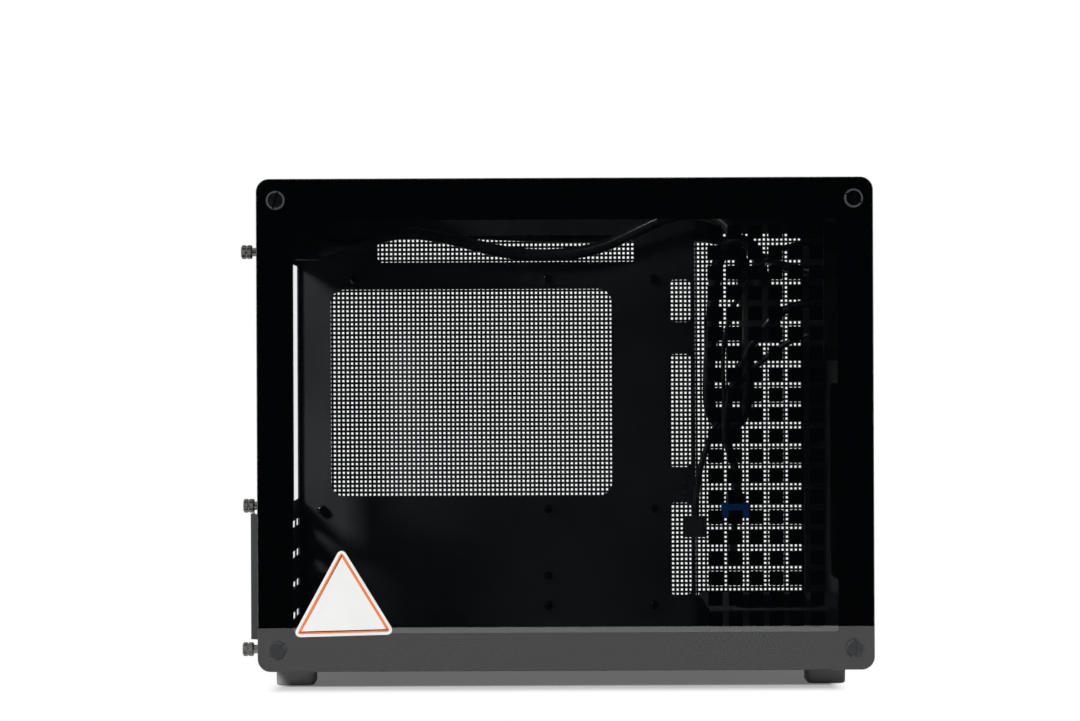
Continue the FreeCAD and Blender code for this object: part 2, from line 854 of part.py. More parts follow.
def build_wrap():
    body = new_body("outer_wrap")
    ring = Profile(body, XZ, y_shell)
    ring.rounded(-shell_x, shell_foot, shell_x, shell_head, s.wrap_corner)
    inner = s.sheet
    ring.rounded(inner - shell_x, inner_foot, shell_x - inner, inner_head, s.wrap_corner - inner)
    ring.pad(y_mesh - y_shell)
    rear = Profile(body, XZ, y_shell - 1)
    rear.rectangle(-shell_x - 1, shell_foot - 1, seam_x, shell_head + 1)
    rear.cut(y_mesh - y_shell + 2)
    span_x = s.vent_pitch_x * (s.vent_columns - 1) + s.vent_slot
    span_y = s.vent_pitch_y * (s.vent_rows - 1) + s.vent_slot_length
    for z in (shell_foot - 1, inner_head - 1):
        slot = Profile(body, XY, z)
        slot.rectangle(-span_x / 2, -span_y / 2, s.vent_slot - span_x / 2, s.vent_slot_length - span_y / 2)
        first = slot.cut(s.sheet + 2)
        repeat(body, first, ("X_Axis", s.vent_pitch_x, s.vent_columns),
               ("Y_Axis", s.vent_pitch_y, s.vent_rows))
    bezel = Profile(body, YZ, shell_x - s.sheet - 1)
    half_y = s.bezel_width / 2 - s.bezel_lip
    half_z = s.bezel_height / 2 - s.bezel_lip
    bezel.rectangle(bezel_y - half_y, bezel_z - half_z,
                    bezel_y + half_y, bezel_z + half_z)
    bezel.cut(s.sheet + 2)
    place(body)


def build_tray():
    body = new_body("motherboard_tray")
    plate = Profile(body, XZ, y_tray)
    plate.rectangle(floor_in, inner_foot, tray_edge, inner_head)
    plate.pad(s.sheet)
    for low, high in ((inner_foot, inner_foot + s.sheet), (inner_head - s.sheet, inner_head)):
        flange = Profile(body, XY, low)
        flange.rectangle(seam_x + 2, y_tray, tray_edge, y_tray + s.tray_fold)
        flange.pad(high - low)
    for left in (floor_in, tray_edge - s.sheet):
        flange = Profile(body, YZ, left)
        flange.rectangle(y_tray, pan_foot, y_tray + s.tray_fold, pan_head)
        flange.pad(s.sheet)
    cpu_left = board_x + s.cpu_setback
    cpu_head = board_z - s.cpu_head
    cut = Profile(body, XZ, y_tray - 1)
    cut.rounded(cpu_left, cpu_head - s.cpu_height, cpu_left + s.cpu_length, cpu_head, s.cpu_corner)
    pass_left = board_x + s.pass_setback
    pass_foot = board_z + s.pass_rise
    cut.rounded(pass_left, pass_foot, pass_left + s.pass_length, pass_foot + s.pass_height, s.pass_corner)
    right = tray_edge - s.side_pass_edge
    for low, high in side_passes():
        cut.rounded(right - s.side_pass_width, low, right, high, s.side_pass_corner)
    cut.cut(s.sheet + 2)
    place(body)


def side_passes():
    """Foot and head of each upright cable opening beside the board, as shares of the height inside."""
    shares = ((s.pass_1_foot, s.pass_1_head), (s.pass_2_foot, s.pass_2_head), (s.pass_3_foot, s.pass_3_head))
    height = inner_head - inner_foot
    return [(inner_foot + height * low, inner_foot + height * high) for low, high in shares]


def build_standoffs():
    stud = new_body("standoff", keep=False)
    body = Profile(stud, XY)
    corner = s.standoff_flats / math.sqrt(3.0)
    points = []
    for i in range(6):
        turn = math.radians(60 * i)
        points.append((corner * round(math.cos(turn), 9), corner * round(math.sin(turn), 9)))
    body.polygon(points)
    body.circle(0.0, 0.0, s.standoff_bore / 2)
    body.pad(s.standoff_height)
    group("standoffs", stud, [(x, y_tray, z, TO_GLASS) for x, z in standoff_places()])


def standoff_places():
    """Hole places of a small board, from its first column and top row."""
    columns = (0.0, 22.86, 154.94, 227.33)
    rows = (0.0, 157.48, 203.2, 223.52)
    taken = ((1, 0), (2, 0), (3, 0), (0, 1), (2, 1), (3, 1), (0, 2), (2, 2), (0, 3), (2, 3), (3, 3))
    return [(board_x + columns[i], board_z - rows[j]) for i, j in taken]


COVER_VENTS = 3


def build_slot_covers():
    thick = s.cover_thick
    for i, z in enumerate(slot_places, start=1):
        body = new_body(f"slot_cover_{i}")
        plate = Profile(body, YZ, floor_in)
        width = s.cover_width / 2
        plate.rectangle(pan_near, -width, slot_far + s.cover_lap, width)
        half_vent, gap = s.cover_vent / 2, s.cover_vent_gap
        pitch = (slot_far - pan_near - gap - s.cover_end) / COVER_VENTS
        for k in range(COVER_VENTS):
            far = slot_far - gap - pitch * k
            plate.rounded(far - pitch + gap, -half_vent, far, half_vent, 1.5)
        plate.pad(thick)
        tab = Profile(body, XZ, pan_near)
        tab.rectangle(floor_in - s.cover_tab, -width, floor_in + thick, width)
        tab.pad(thick)
        hole = Profile(body, XZ, pan_near - 1)
        hole.circle(floor_in - s.cover_tab / 2, s.cover_ear_rise, s.cover_ear_hole / 2)
        hole.cut(thick + 2)
        place(body, 0.0, 0.0, z)


def build_slot_guard(screw):
    body = new_body("slot_guard")
    foot = slot_places[-1] - s.slot_notch / 2 - s.clearance
    height = s.slot_pitch * (int(SIZES["slot_count"]) - 1) + s.slot_notch + s.clearance * 2
    head = foot + height
    out = -shell_x - s.guard_depth
    far = pan_near + s.guard_lap
    near = far - s.guard_width
    slope, wall = s.guard_slope, s.sheet / 2
    ears = Profile(body, YZ, -shell_x - s.sheet)
    ears.rectangle(near, foot, pan_near - s.sheet, head + s.guard_ear)
    ears.circle(guard_screw_y, guard_screw_z, s.thumb_shank / 2 + s.clearance / 2)
    ears.pad(s.sheet)
    hood = Profile(body, XY, foot)
    hood.polygon([
        (-shell_x, near), (-shell_x - s.sheet, near), (out, near + slope), (out, far), (out + s.sheet, far),
        (out + s.sheet, near + slope + wall), (-shell_x, near + s.sheet + wall),
    ])
    hood.pad(height)
    place(body)
    group("slot_guard_thumbscrew", screw, [(
        -shell_x - s.sheet, guard_screw_y, guard_screw_z, TO_REAR)])


def build_front_channel():
    body = new_body("front_channel")
    plate = Profile(body, YZ, front_in)
    gap = s.clearance
    near = y_shell + s.frame_skirt + gap
    far = y_mesh - s.frame_skirt - gap
    plate.rectangle(near, inner_foot, far, inner_head)
    plate.rounded(near + s.channel_cut_side, shell_foot + s.channel_cut_foot,
                  far - s.channel_cut_side, bezel_z - s.bezel_height / 2 - s.channel_cut_gap,
                  s.channel_cut_corner)
    plate.rectangle(bezel_y - s.bezel_width / 2, bezel_z - s.bezel_height / 2,
                    bezel_y + s.bezel_width / 2, bezel_z + s.bezel_height / 2)
    plate.pad(s.sheet)
    for y in (near, far - s.sheet):
        side = Profile(body, XZ, y)
        side.rectangle(front_in, inner_foot + s.wrap_corner, shell_x - s.sheet, inner_head - s.wrap_corner)
        side.pad(s.sheet)
    place(body)


def build_feet():
    foot = new_body("foot", keep=False)
    block = Profile(foot, XY)
    half_x, half_y = s.foot_width / 2, s.foot_depth / 2
    block.rounded(-half_x, -half_y, half_x, half_y, s.foot_corner)
    made = block.pad(s.foot_height)
    bind(made, "TaperAngle", s.foot_taper)
    doc.recompute()
    soft = foot.newObject("PartDesign::Fillet", "SoleEdge")
    sole = [f"Face{i}" for i, face in enumerate(made.Shape.Faces, start=1)
            if face.BoundBox.ZLength < 0.01 and face.BoundBox.ZMin < 1.0]
    soft.Base = (made, sole)
    soft.Radius = 1.5
    rear = s.foot_rear + half_x - half
    front = half - s.foot_front - half_x
    near = y_shell + s.foot_side + half_y
    far = y_mesh - s.foot_side - half_y
    for label, x, y in (("foot_rear_near", rear, near), ("foot_front_near", front, near),
                        ("foot_rear_far", rear, far), ("foot_front_far", front, far)):
        group(label, foot, [(x, y, 0.0, None)])


def build_inlet():
    """The mains socket that snaps into the rear wall, with its pins and its rubber boot."""
    body = new_body("mains_inlet")
    half_y, half_z = s.inlet_width / 2, s.inlet_height / 2
    rim = s.inlet_rim
    flange_out = floor_out - s.inlet_flange
    flange = Profile(body, YZ, flange_out)
    flange.rounded(inlet_y - half_y - rim, inlet_z - half_z - rim, inlet_y + half_y + rim,
                   inlet_z + half_z + rim, 2.0)
    flange.pad(s.inlet_flange)
    case = Profile(body, YZ, floor_out)
    case.rectangle(inlet_y - half_y, inlet_z - half_z, inlet_y + half_y, inlet_z + half_z)
    case.pad(s.inlet_depth)
    well = Profile(body, YZ, flange_out - 1)
    wide, high = s.inlet_well_width / 2, s.inlet_well_height / 2
    cant = s.inlet_corner
    well.polygon([
        (inlet_y - wide, inlet_z - high), (inlet_y + wide, inlet_z - high),
        (inlet_y + wide, inlet_z + high - cant), (inlet_y + wide - cant, inlet_z + high),
        (inlet_y - wide + cant, inlet_z + high), (inlet_y - wide, inlet_z + high - cant),
    ])
    well.cut(s.inlet_well + 1)
    place(body)
    pins = new_body("inlet_pins")
    half_pin, half_tall = s.inlet_pin / 2, s.inlet_pin_height / 2
    middle = Profile(pins, YZ, floor_out + 1)
    for step, rise in ((-1, -1.5), (0, 2.0), (1, -1.5)):
        y = inlet_y + s.inlet_pin_pitch * step
        z = inlet_z + rise
        middle.rectangle(y - half_pin, z - half_tall, y + half_pin, z + half_tall)
    middle.pad(s.inlet_well - s.inlet_flange - 1)
    place(pins)
    boot = new_body("inlet_boot")
    outline = Profile(boot, XZ)
    radius = s.mains_cord / 2
    outline.polygon([
        (0.0, 0.0), (radius + 3.5, 0.0), (radius + 3.5, 2.0), (radius + 1.2, s.boot_length),
        (0.0, s.boot_length),
    ])
    outline.spin()
    place(boot, floor_out + s.inlet_depth, inlet_y, inlet_z, turned(0, 1, 0, 90))


def build_supply_carrier():
    """The stand that a power supply is screwed to, at the foot of the front bay."""
    body = new_body("supply_carrier")
    top = inner_foot + s.supply_plate_height
    thick = s.supply_plate_thick
    left, right = tray_edge + s.supply_leg_side, front_in - s.clearance
    near = y_shell + s.frame_skirt + s.supply_near_gap
    far = y_mesh - s.frame_skirt - s.supply_far_gap
    plate = Profile(body, XY, top - thick)
    plate.rectangle(left, near, right, far)
    window = s.supply_window
    plate.rounded(left + window, near + window, right - window, far - window, s.supply_window_corner)
    mid_x, mid_y = (left + right) / 2, (near + far) / 2
    for side_x in (-1, 1):
        for side_y in (-1, 1):
            plate.circle(mid_x + side_x * s.supply_holes / 2,
                         mid_y + side_y * ((far - near) / 2 - s.supply_hole_edge), s.supply_hole / 2)
    plate.pad(thick)
    for y in (near, far - thick):
        wall = Profile(body, XZ, y)
        wall.rectangle(left, inner_foot, right, top)
        wall.pad(thick)
    foot = Profile(body, XY, inner_foot)
    foot.rectangle(left, near, right, near + s.supply_flange)
    foot.rectangle(left, far - s.supply_flange, right, far)
    foot.pad(thick)
    leg = Profile(body, XZ, y_tray)
    leg_left = left + s.supply_leg_gap
    leg.rectangle(leg_left, inner_foot, leg_left + s.supply_leg, inner_foot + s.supply_leg_height)
    leg.pad(thick)
    place(body)


def build_ports():
    """Button and sockets of the front, on one small board behind a plastic strip."""
    mid_y, mid_z = bezel_y, bezel_z
    half_y, half_z = s.bezel_width / 2, s.bezel_height / 2
    back = shell_x - s.sheet - 1
    face = shell_x + s.bezel_proud
    button_z = mid_z + half_z - s.button_drop
    usb_c_z = mid_z + s.usb_c_rise
    usb_z = (mid_z - s.usb_drop, mid_z - s.usb_drop - s.usb_pitch)
    jack_z = mid_z - half_z + s.jack_rise
    strip = new_body("port_strip")
    outline = Profile(strip, YZ, shell_x)
    outline.rounded(mid_y - half_y, mid_z - half_z, mid_y + half_y, mid_z + half_z, 3.0)
    outline.pad(s.bezel_proud)
    plug = Profile(strip, YZ, back)
    gap = s.bezel_lip + s.clearance / 2
    plug.rectangle(mid_y - half_y + gap, mid_z - half_z + gap, mid_y + half_y - gap, mid_z + half_z - gap)
    plug.pad(shell_x - back)
    holes = Profile(strip, YZ, back - 1)
    slack = s.clearance / 4
    usb_half, usb_tall = s.usb_width / 2 + slack, s.usb_height / 2 + slack
    for z in usb_z:
        holes.rectangle(mid_y - usb_tall, z - usb_half, mid_y + usb_tall, z + usb_half)
    c_half, c_tall = s.usb_c_width / 2 + slack, s.usb_c_height / 2 + slack
    holes.rounded(mid_y - c_tall, usb_c_z - c_half, mid_y + c_tall, usb_c_z + c_half, c_tall - s.round_slack)
    holes.circle(mid_y, jack_z, s.jack_bore / 2)
    holes.circle(mid_y, button_z, s.button_width / 2 + s.slide_gap)
    holes.cut(face - back + 2)
    place(strip)

    button = new_body("power_button")
    cap = Profile(button, XZ)
    radius = s.button_width / 2
    behind = face - back + s.clearance
    collar = behind + s.button_collar
    cap.polygon([
        (0.0, -s.button_depth), (s.button_stem / 2, -s.button_depth), (s.button_stem / 2, -collar),
        (radius + s.collar_rim, -collar), (radius + s.collar_rim, -behind), (radius, -behind),
        (radius, -s.cap_edge), (radius - s.cap_edge, 0.0), (0.0, 0.0),
    ])
    cap.spin()
    place(button, face, mid_y, button_z, turned(0, 1, 0, 90))
    switch = new_body("power_switch")
    stem_end = face - s.button_depth - s.button_travel - s.slide_gap
    half_switch = s.usb_height / 2
    case = Profile(switch, YZ, stem_end - 1 - s.switch_depth)
    case.rectangle(mid_y - half_switch, button_z - half_switch, mid_y + half_switch,
                   button_z + half_switch)
    case.pad(s.switch_depth)
    stem = Profile(switch, YZ, stem_end - 1)
    stem.circle(mid_y, button_z, s.button_stem / 2)
    stem.pad(1.0)
    place(switch)

    board = new_body("port_board")
    usb_bed = mid_y + s.usb_height / 2
    sheet_plan = Profile(board, XZ, usb_bed)
    rear_edge, step_x = back - s.port_board_depth, stem_end - 1 - s.switch_depth / 2
    low, high = mid_z - s.port_board_height / 2, mid_z + s.port_board_height / 2
    step_z = button_z - s.button_width / 2 - s.board_step
    sheet_plan.polygon([
        (rear_edge, low), (back, low), (back, step_z), (step_x, step_z), (step_x, high), (rear_edge, high),
    ])
    sheet_plan.pad(s.port_board_thick)
    place(board)
    for i, z in enumerate(usb_z, start=1):
        port = new_body(f"usb_port_{i}")
        shell = Profile(port, YZ, face - s.usb_depth)
        wide, tall, wall = s.usb_width / 2, s.usb_height / 2, s.usb_wall
        shell.rectangle(mid_y - tall, z - wide, mid_y + tall, z + wide)
        shell.pad(s.usb_depth)
        hollow = Profile(port, YZ, face - s.usb_depth + s.usb_back)
        hollow.rectangle(mid_y - tall + wall, z - wide + wall, mid_y + tall - wall, z + wide - wall)
        hollow.cut(s.usb_depth)
        tongue = Profile(port, YZ, face - s.usb_depth + s.usb_back / 2)
        low, side = mid_y + s.tongue_shift, wide - s.tongue_side
        tongue.rectangle(low, z - side, low + s.tongue_thick, z + side)
        tongue.pad(s.usb_depth - s.usb_back / 2 - s.tongue_set_back)
        place(port)
    port_c = new_body("usb_c_port")
    shell = Profile(port_c, YZ, face - s.usb_c_depth)
    wide, tall, wall = s.usb_c_width / 2, s.usb_c_height / 2, s.usb_c_wall
    end_round = tall - s.round_slack
    shell.rounded(mid_y - tall, usb_c_z - wide, mid_y + tall, usb_c_z + wide, end_round)
    shell.rounded(mid_y - tall + wall, usb_c_z - wide + wall, mid_y + tall - wall, usb_c_z + wide - wall,
                  end_round - wall)
    shell.pad(s.usb_c_depth)
    base = Profile(port_c, YZ, face - s.usb_c_depth - s.usb_c_base)
    base.rectangle(mid_y - tall, usb_c_z - wide, usb_bed, usb_c_z + wide)
    base.pad(s.usb_c_base)
    tongue = Profile(port_c, YZ, face - s.usb_c_depth)
    low, side = mid_y - s.usb_c_tongue / 2, wide - wall * 4
    tongue.rectangle(low, usb_c_z - side, low + s.usb_c_tongue, usb_c_z + side)
    tongue.pad(s.usb_c_depth - s.tongue_set_back)
    place(port_c)
    jack = new_body("audio_jack")
    case = Profile(jack, YZ, back - s.jack_depth)
    wide = s.jack_width / 2
    case.rectangle(mid_y - wide + s.round_slack, jack_z - wide, usb_bed, jack_z + wide)
    case.circle(mid_y, jack_z, s.jack_bore / 2)
    case.pad(s.jack_depth)
    place(jack)


def build_filter():
    """The dust filter under the floor, and the two rails it slides in."""
    body = new_body("dust_filter")
    filter_width = y_mesh - y_shell - s.filter_side_gap
    half_x, half_y = s.filter_length / 2, filter_width / 2
    top = shell_foot - s.slide_gap
    low = top - s.filter_thick
    frame = Profile(body, XY, low)
    frame.rectangle(-half_x, -half_y, half_x, half_y)
    frame.pad(s.filter_thick)
    pull = Profile(body, XY, low - s.filter_thick)
    pull.rectangle(-s.filter_pull / 2, half_y - s.filter_border / 2, s.filter_pull / 2, half_y)
    pull.pad(s.filter_thick)
    border, bar = s.filter_border, s.filter_bar
    pitch_x = (half_x * 2 - border * 2 + bar) / s.filter_bars_x
    pitch_y = (half_y * 2 - border * 2 + bar) / s.filter_bars_y
    cell = Profile(body, XY, low - 1)
    cell.rectangle(border - half_x, border - half_y, border - half_x + pitch_x - bar,
                   border - half_y + pitch_y - bar)
    first = cell.cut(s.filter_thick + 2)
    repeat(body, first, ("X_Axis", pitch_x, s.filter_bars_x), ("Y_Axis", pitch_y, s.filter_bars_y))
    place(body)
    wall, gap = s.rail_wall, s.clearance
    for label, side in (("filter_rail_rear", -1), ("filter_rail_front", 1)):
        rail = new_body(label)
        bend = Profile(rail, XZ, -half_y)
        out = half_x + gap + wall
        flange, hold, under = out + s.rail_flange, s.rail_hold, low - s.slide_gap
        points = [
            (half_x - hold, under - wall), (out, under - wall), (out, shell_foot - wall),
            (flange, shell_foot - wall), (flange, shell_foot), (half_x + gap, shell_foot),
            (half_x + gap, under), (half_x - hold, under),
        ]
        bend.polygon([(x * side, z) for x, z in points])
        bend.pad(filter_width - s.rail_short)
        place(rail)


def build_sticker():
    """The plain three-cornered sticker on the glass."""
    body = new_body("glass_sticker")
    side = s.sticker_side
    plan = Profile(body, XZ, y_glass - s.sticker_thick)
    plan.polygon([
        (s.sticker_x - side / 2, s.sticker_z), (s.sticker_x + side / 2, s.sticker_z),
        (Length(0.0, "0") + s.sticker_x, s.sticker_z + side * (math.sqrt(3.0) / 2)),
    ])
    pad = plan.pad(s.sticker_thick)
    doc.recompute()
    corners = body.newObject("PartDesign::Fillet", "Corners")
    edges = [f"Edge{i}" for i, edge in enumerate(pad.Shape.Edges, start=1)
             if edge.BoundBox.YLength > 0.1 and edge.BoundBox.XLength < 0.01]
    corners.Base = (pad, edges)
    bind(corners, "Radius", s.sticker_corner)
    place(body)


def vector(point):
    return FreeCAD.Vector(*(number(value) for value in point))


def cord_path(points, bend_share=0.45):
    """Straight runs joined by tangent arcs, each as large as its two runs allow."""
    at = [vector(point) for point in points]
    edges, radii = [], []
    start = at[0]
    for before, corner, after in zip(at, at[1:], at[2:]):
        back, ahead = before - corner, after - corner
        shorter = min(back.Length, ahead.Length)
        back.normalize()
        ahead.normalize()
        half_turn = (math.pi - back.getAngle(ahead)) / 2
        reach = bend_share * shorter
        radius = reach / math.tan(half_turn)
        radii.append(radius)
        enter, leave = corner + back * reach, corner + ahead * reach
        inward = (back + ahead).normalize()
        middle = corner + inward * (radius / math.cos(half_turn) - radius)
        edges.append(Part.LineSegment(start, enter).toShape())
        edges.append(Part.Arc(enter, middle, leave).toShape())
        start = leave
    edges.append(Part.LineSegment(start, at[-1]).toShape())
    return Part.Wire(edges), radii


def build_cord(label, points, diameter):
    """One round tube along a hand-laid route, counted from the middle of the case."""
    path, radii = cord_path(points)
    start = vector(points[0])
    section = Part.Wire(Part.makeCircle(number(diameter) / 2, start, vector(points[1]) - start))
    tube = path.makePipeShell([section], True, False)
    area = math.pi * number(diameter) ** 2 / 4
    print(label, "length", round(path.Length, 1), "smallest radius", round(min(radii), 1),
          "volume share", round(tube.Volume / (area * path.Length), 4))
    feature = doc.addObject("Part::Feature", label)
    feature.Label = label
    feature.Shape = tube
    place(feature)
    parts[label] = feature


def hand_laid(start, offsets):
    """Places of a lead's points, each counted from where its fittings stand."""
    return [tuple(at + off for at, off in zip(start, offset)) for offset in offsets]


# The mains lead runs over the board, from the boot of the inlet to its plug beyond the tray
boot_end = floor_out + s.inlet_depth + s.boot_length
lead_run = tray_edge - boot_end
MAINS_ROUTE = [(boot_end + lead_run * share, inlet_y + aside, inlet_z + up) for share, aside, up in (
    (0.0, 0.0, 0.0), (0.06, 0.0, 0.0), (0.168, 3.5, 9.5), (0.3, 8.5, 6.0), (0.456, 13.0, -5.0),
    (0.596, 14.5, -7.5), (0.727, 12.5, -3.0), (0.834, 8.5, 9.5), (0.924, 2.5, 19.5),
    (1.006, -3.5, 21.5), (1.076, -10.5, 15.5), (1.117, -16.5, -2.5), (1.127, -19.5, -34.5),
    (1.133, -17.5, -71.5), (1.136, -13.5, -96.5), (1.133, -12.0, -110.5), (1.115, -11.5, -120.5),
    (1.084, -11.5, -124.0), (1.051, -12.0, -121.0), (1.031, -13.5, -111.5), (1.027, -16.5, -94.5),
    (1.035, -22.5, -58.5), (1.041, -29.5, -30.5), (1.049, -32.5, -13.5), (1.072, -35.5, -2.5),
    (1.103, -37.5, 1.5), (1.133, -39.5, -1.0), (1.156, -40.5, -8.5), (1.162, -40.5, -18.5),
    (1.162, -40.5, -28.5),
)]

# The leads of the ports hang from their board, counted from the middle of the strip
port_exit = (shell_x - s.sheet - 1 - s.port_board_depth - s.clearance * 2, bezel_y, bezel_z)
USB_ROUTE = hand_laid(port_exit, (
    (0.0, 6.0, -6.0), (-16.0, 7.0, -7.5), (-33.0, 11.0, -16.0), (-46.0, 16.0, -33.0), (-56.0, 20.0, -54.0),
    (-63.0, 22.0, -76.0), (-63.0, 24.0, -97.0), (-56.0, 25.0, -114.0), (-56.0, 25.0, -132.0),
))
AUDIO_ROUTE = hand_laid(port_exit, (
    (0.0, 6.0, -26.0), (-17.0, 10.0, -29.0), (-35.0, 16.0, -41.0), (-51.0, 24.0, -56.0), (-63.0, 29.0, -74.0),
    (-71.0, 30.0, -92.0), (-78.0, 31.0, -110.0), (-82.0, 32.0, -129.0), (-82.0, 32.0, -147.0),
))
# This lead goes round the tray and along the space behind it: shares of the way back and across
way_back, way_across = floor_in - port_exit[0], y_mesh - bezel_y
USB_C_ROUTE = [(port_exit[0] + way_back * back, bezel_y + way_across * across, bezel_z + up)
               for back, across, up in (
    (0.0, 0.037, 13.0), (0.04, 0.062, 14.0), (0.074, 0.175, 18.0), (0.091, 0.362, 22.0),
    (0.12, 0.575, 30.0), (0.166, 0.75, 38.0), (0.24, 0.838, 42.5), (0.343, 0.856, 42.0),
    (0.457, 0.838, 40.5), (0.586, 0.825, 42.0), (0.715, 0.831, 44.5), (0.829, 0.844, 47.0),
    (0.915, 0.85, 46.0), (0.966, 0.85, 32.0), (0.966, 0.85, 10.0),
)]
SWITCH_ROUTE = hand_laid(port_exit, (
    (0.0, 6.0, 30.0), (-14.0, 8.0, 32.0), (-30.0, 14.0, 28.0), (-46.0, 24.0, 12.0), (-58.0, 32.0, -10.0),
    (-64.0, 38.0, -36.0), (-63.0, 42.0, -66.0), (-59.0, 44.0, -96.0), (-56.0, 46.0, -124.0),
    (-56.0, 47.0, -146.0), (-56.0, 47.0, -160.0),
))


def build_plug_on(label, route, blocks):
    """A fitting of stacked blocks, foot first, that the end of a lead runs into."""
    x, y, z = route[-1]
    plug = new_body(label)
    foot = Length(0.0, "0")
    for width, height, length in reversed(blocks):
        foot = foot - length
    for width, height, length in blocks:
        block = Profile(plug, XY, foot)
        block.rectangle(-width / 2, -height / 2, width / 2, height / 2)
        block.pad(length)
        foot = foot + length
    place(plug, x, y, z)


def build_cords():
    build_cord("mains_extension_cord", MAINS_ROUTE, s.mains_cord)
    build_cord("usb_cable", USB_ROUTE, s.usb_cord)
    build_cord("audio_cable", AUDIO_ROUTE, s.audio_cord)
    build_cord("usb_c_cable", USB_C_ROUTE, s.usb_c_cord)
    build_cord("switch_cable", SWITCH_ROUTE, s.switch_cord)
    plug = new_body("mains_plug")
    outline = Profile(plug, XY, -s.plug_length)
    half_x, half_y = s.plug_width / 2, s.plug_height / 2
    outline.rounded(-half_x, -half_y, half_x, half_y, 3.0)
    outline.pad(s.plug_length)
    relief = Profile(plug, XZ)
    radius, sleeve = s.mains_cord / 2, s.relief_length
    relief.polygon([
        (0.0, -s.sheet), (radius + s.relief_foot, -s.sheet), (radius + s.relief_lip, sleeve), (radius, sleeve),
        (radius, s.sheet), (0.0, s.sheet),
    ])
    relief.spin()
    x, y, z = MAINS_ROUTE[-1]
    place(plug, x, y, z - s.sheet)
    build_plug_on("usb_connector", USB_ROUTE, [
        (s.usb_plug_width, s.usb_plug_height, s.usb_plug_length),
        (s.usb_neck_width, s.usb_neck_height, s.usb_neck_length),
    ])
    build_plug_on("audio_connector", AUDIO_ROUTE, [
        (s.audio_plug_width, s.audio_plug_height, s.audio_plug_length),
    ])
    build_plug_on("usb_c_connector", USB_C_ROUTE, [
        (s.usb_c_plug_width, s.usb_c_plug_height, s.usb_c_plug_length),
    ])
    build_plug_on("switch_connector", SWITCH_ROUTE, [
        (s.switch_plug_width, s.switch_plug_height, s.switch_plug_length),
    ])


def build_all():
    build_glass()
    build_print()
    build_glass_fixings()
    build_side_frame()
    build_mesh_panel()
    screw = build_thumbscrews()
    build_rear_panel(s.thumb_shank / 2 + s.clearance / 4)
    build_wrap()
    build_tray()
    build_standoffs()
    build_slot_covers()
    build_slot_guard(screw)
    build_front_channel()
    build_feet()
    build_inlet()
    build_supply_carrier()
    build_ports()
    build_filter()
    build_sticker()
    build_cords()


build_all()
doc.recompute()
for thing in doc.Objects:
    if "Invalid" in thing.State or "Error" in thing.State:
        raise RuntimeError(f"{thing.Label} did not build: {thing.State}")
os.makedirs("parts", exist_ok=True)
for label, thing in parts.items():
    shape = thing.Shape
    if shape.isNull() or not shape.isValid():
        raise RuntimeError(f"{label} has no sound shape")
    shape.exportStep(os.path.join("parts", label + ".step"))
    print(label, len(shape.Solids), round(shape.Volume), shape.BoundBox)
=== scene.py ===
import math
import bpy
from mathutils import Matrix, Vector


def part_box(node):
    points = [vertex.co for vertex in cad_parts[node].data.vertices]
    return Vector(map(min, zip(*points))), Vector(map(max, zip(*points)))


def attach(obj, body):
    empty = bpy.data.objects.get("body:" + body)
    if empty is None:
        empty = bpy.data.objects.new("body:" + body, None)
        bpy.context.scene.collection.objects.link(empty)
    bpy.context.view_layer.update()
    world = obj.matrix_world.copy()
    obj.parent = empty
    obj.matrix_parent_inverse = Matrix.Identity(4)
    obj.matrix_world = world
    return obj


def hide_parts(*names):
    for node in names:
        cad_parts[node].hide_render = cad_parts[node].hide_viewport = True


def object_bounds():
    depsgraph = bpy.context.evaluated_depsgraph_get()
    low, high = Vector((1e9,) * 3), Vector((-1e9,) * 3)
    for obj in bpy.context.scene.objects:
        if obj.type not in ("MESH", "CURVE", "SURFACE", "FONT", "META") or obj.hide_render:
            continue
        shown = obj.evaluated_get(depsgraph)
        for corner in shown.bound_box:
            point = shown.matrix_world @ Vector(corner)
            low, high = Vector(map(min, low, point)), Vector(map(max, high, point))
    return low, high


bl_info = {
    "name": "Glass-sided Computer Case",
    "version": (1, 0, 0),
    "blender": (4, 5, 0),
    "location": "View3D > Sidebar > Case",
    "description": "Perforation, turned screws, leads, finishes and studio for the packed computer case",
    "category": "Object",
}

import bmesh
import bpy
from bpy.props import FloatProperty, FloatVectorProperty, IntProperty, PointerProperty
from bpy.types import Operator, Panel, PropertyGroup
from mathutils import Matrix, Vector

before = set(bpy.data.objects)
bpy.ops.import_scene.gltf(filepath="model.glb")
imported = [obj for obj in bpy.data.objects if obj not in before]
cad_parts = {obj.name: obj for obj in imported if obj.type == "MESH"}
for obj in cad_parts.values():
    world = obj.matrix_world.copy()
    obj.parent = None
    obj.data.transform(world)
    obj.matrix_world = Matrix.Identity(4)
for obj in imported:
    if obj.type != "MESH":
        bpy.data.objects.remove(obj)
cad_low, cad_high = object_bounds()

MM = 0.001
QUARTER_TURN = math.radians(90)
MAIN_BODY = "chassis"

# Corners that lie nearer together than this are one corner, in metres
WELD = 1e-6
FINE_WELD = 1e-7

# The glass fixes the middle of the case, from which the places below are counted
GLASS_LOW, GLASS_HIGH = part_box("glass_panel")
GLASS_FRONT = -103.0
MIDDLE_X = (GLASS_LOW.x + GLASS_HIGH.x) / 2
MIDDLE_Y = GLASS_LOW.y - GLASS_FRONT * MM


def spot(x, y, z):
    """A place in the frame: x and y in millimetres from the middle of the case, z over the table."""
    return Vector((MIDDLE_X + x * MM, MIDDLE_Y + y * MM, z * MM))


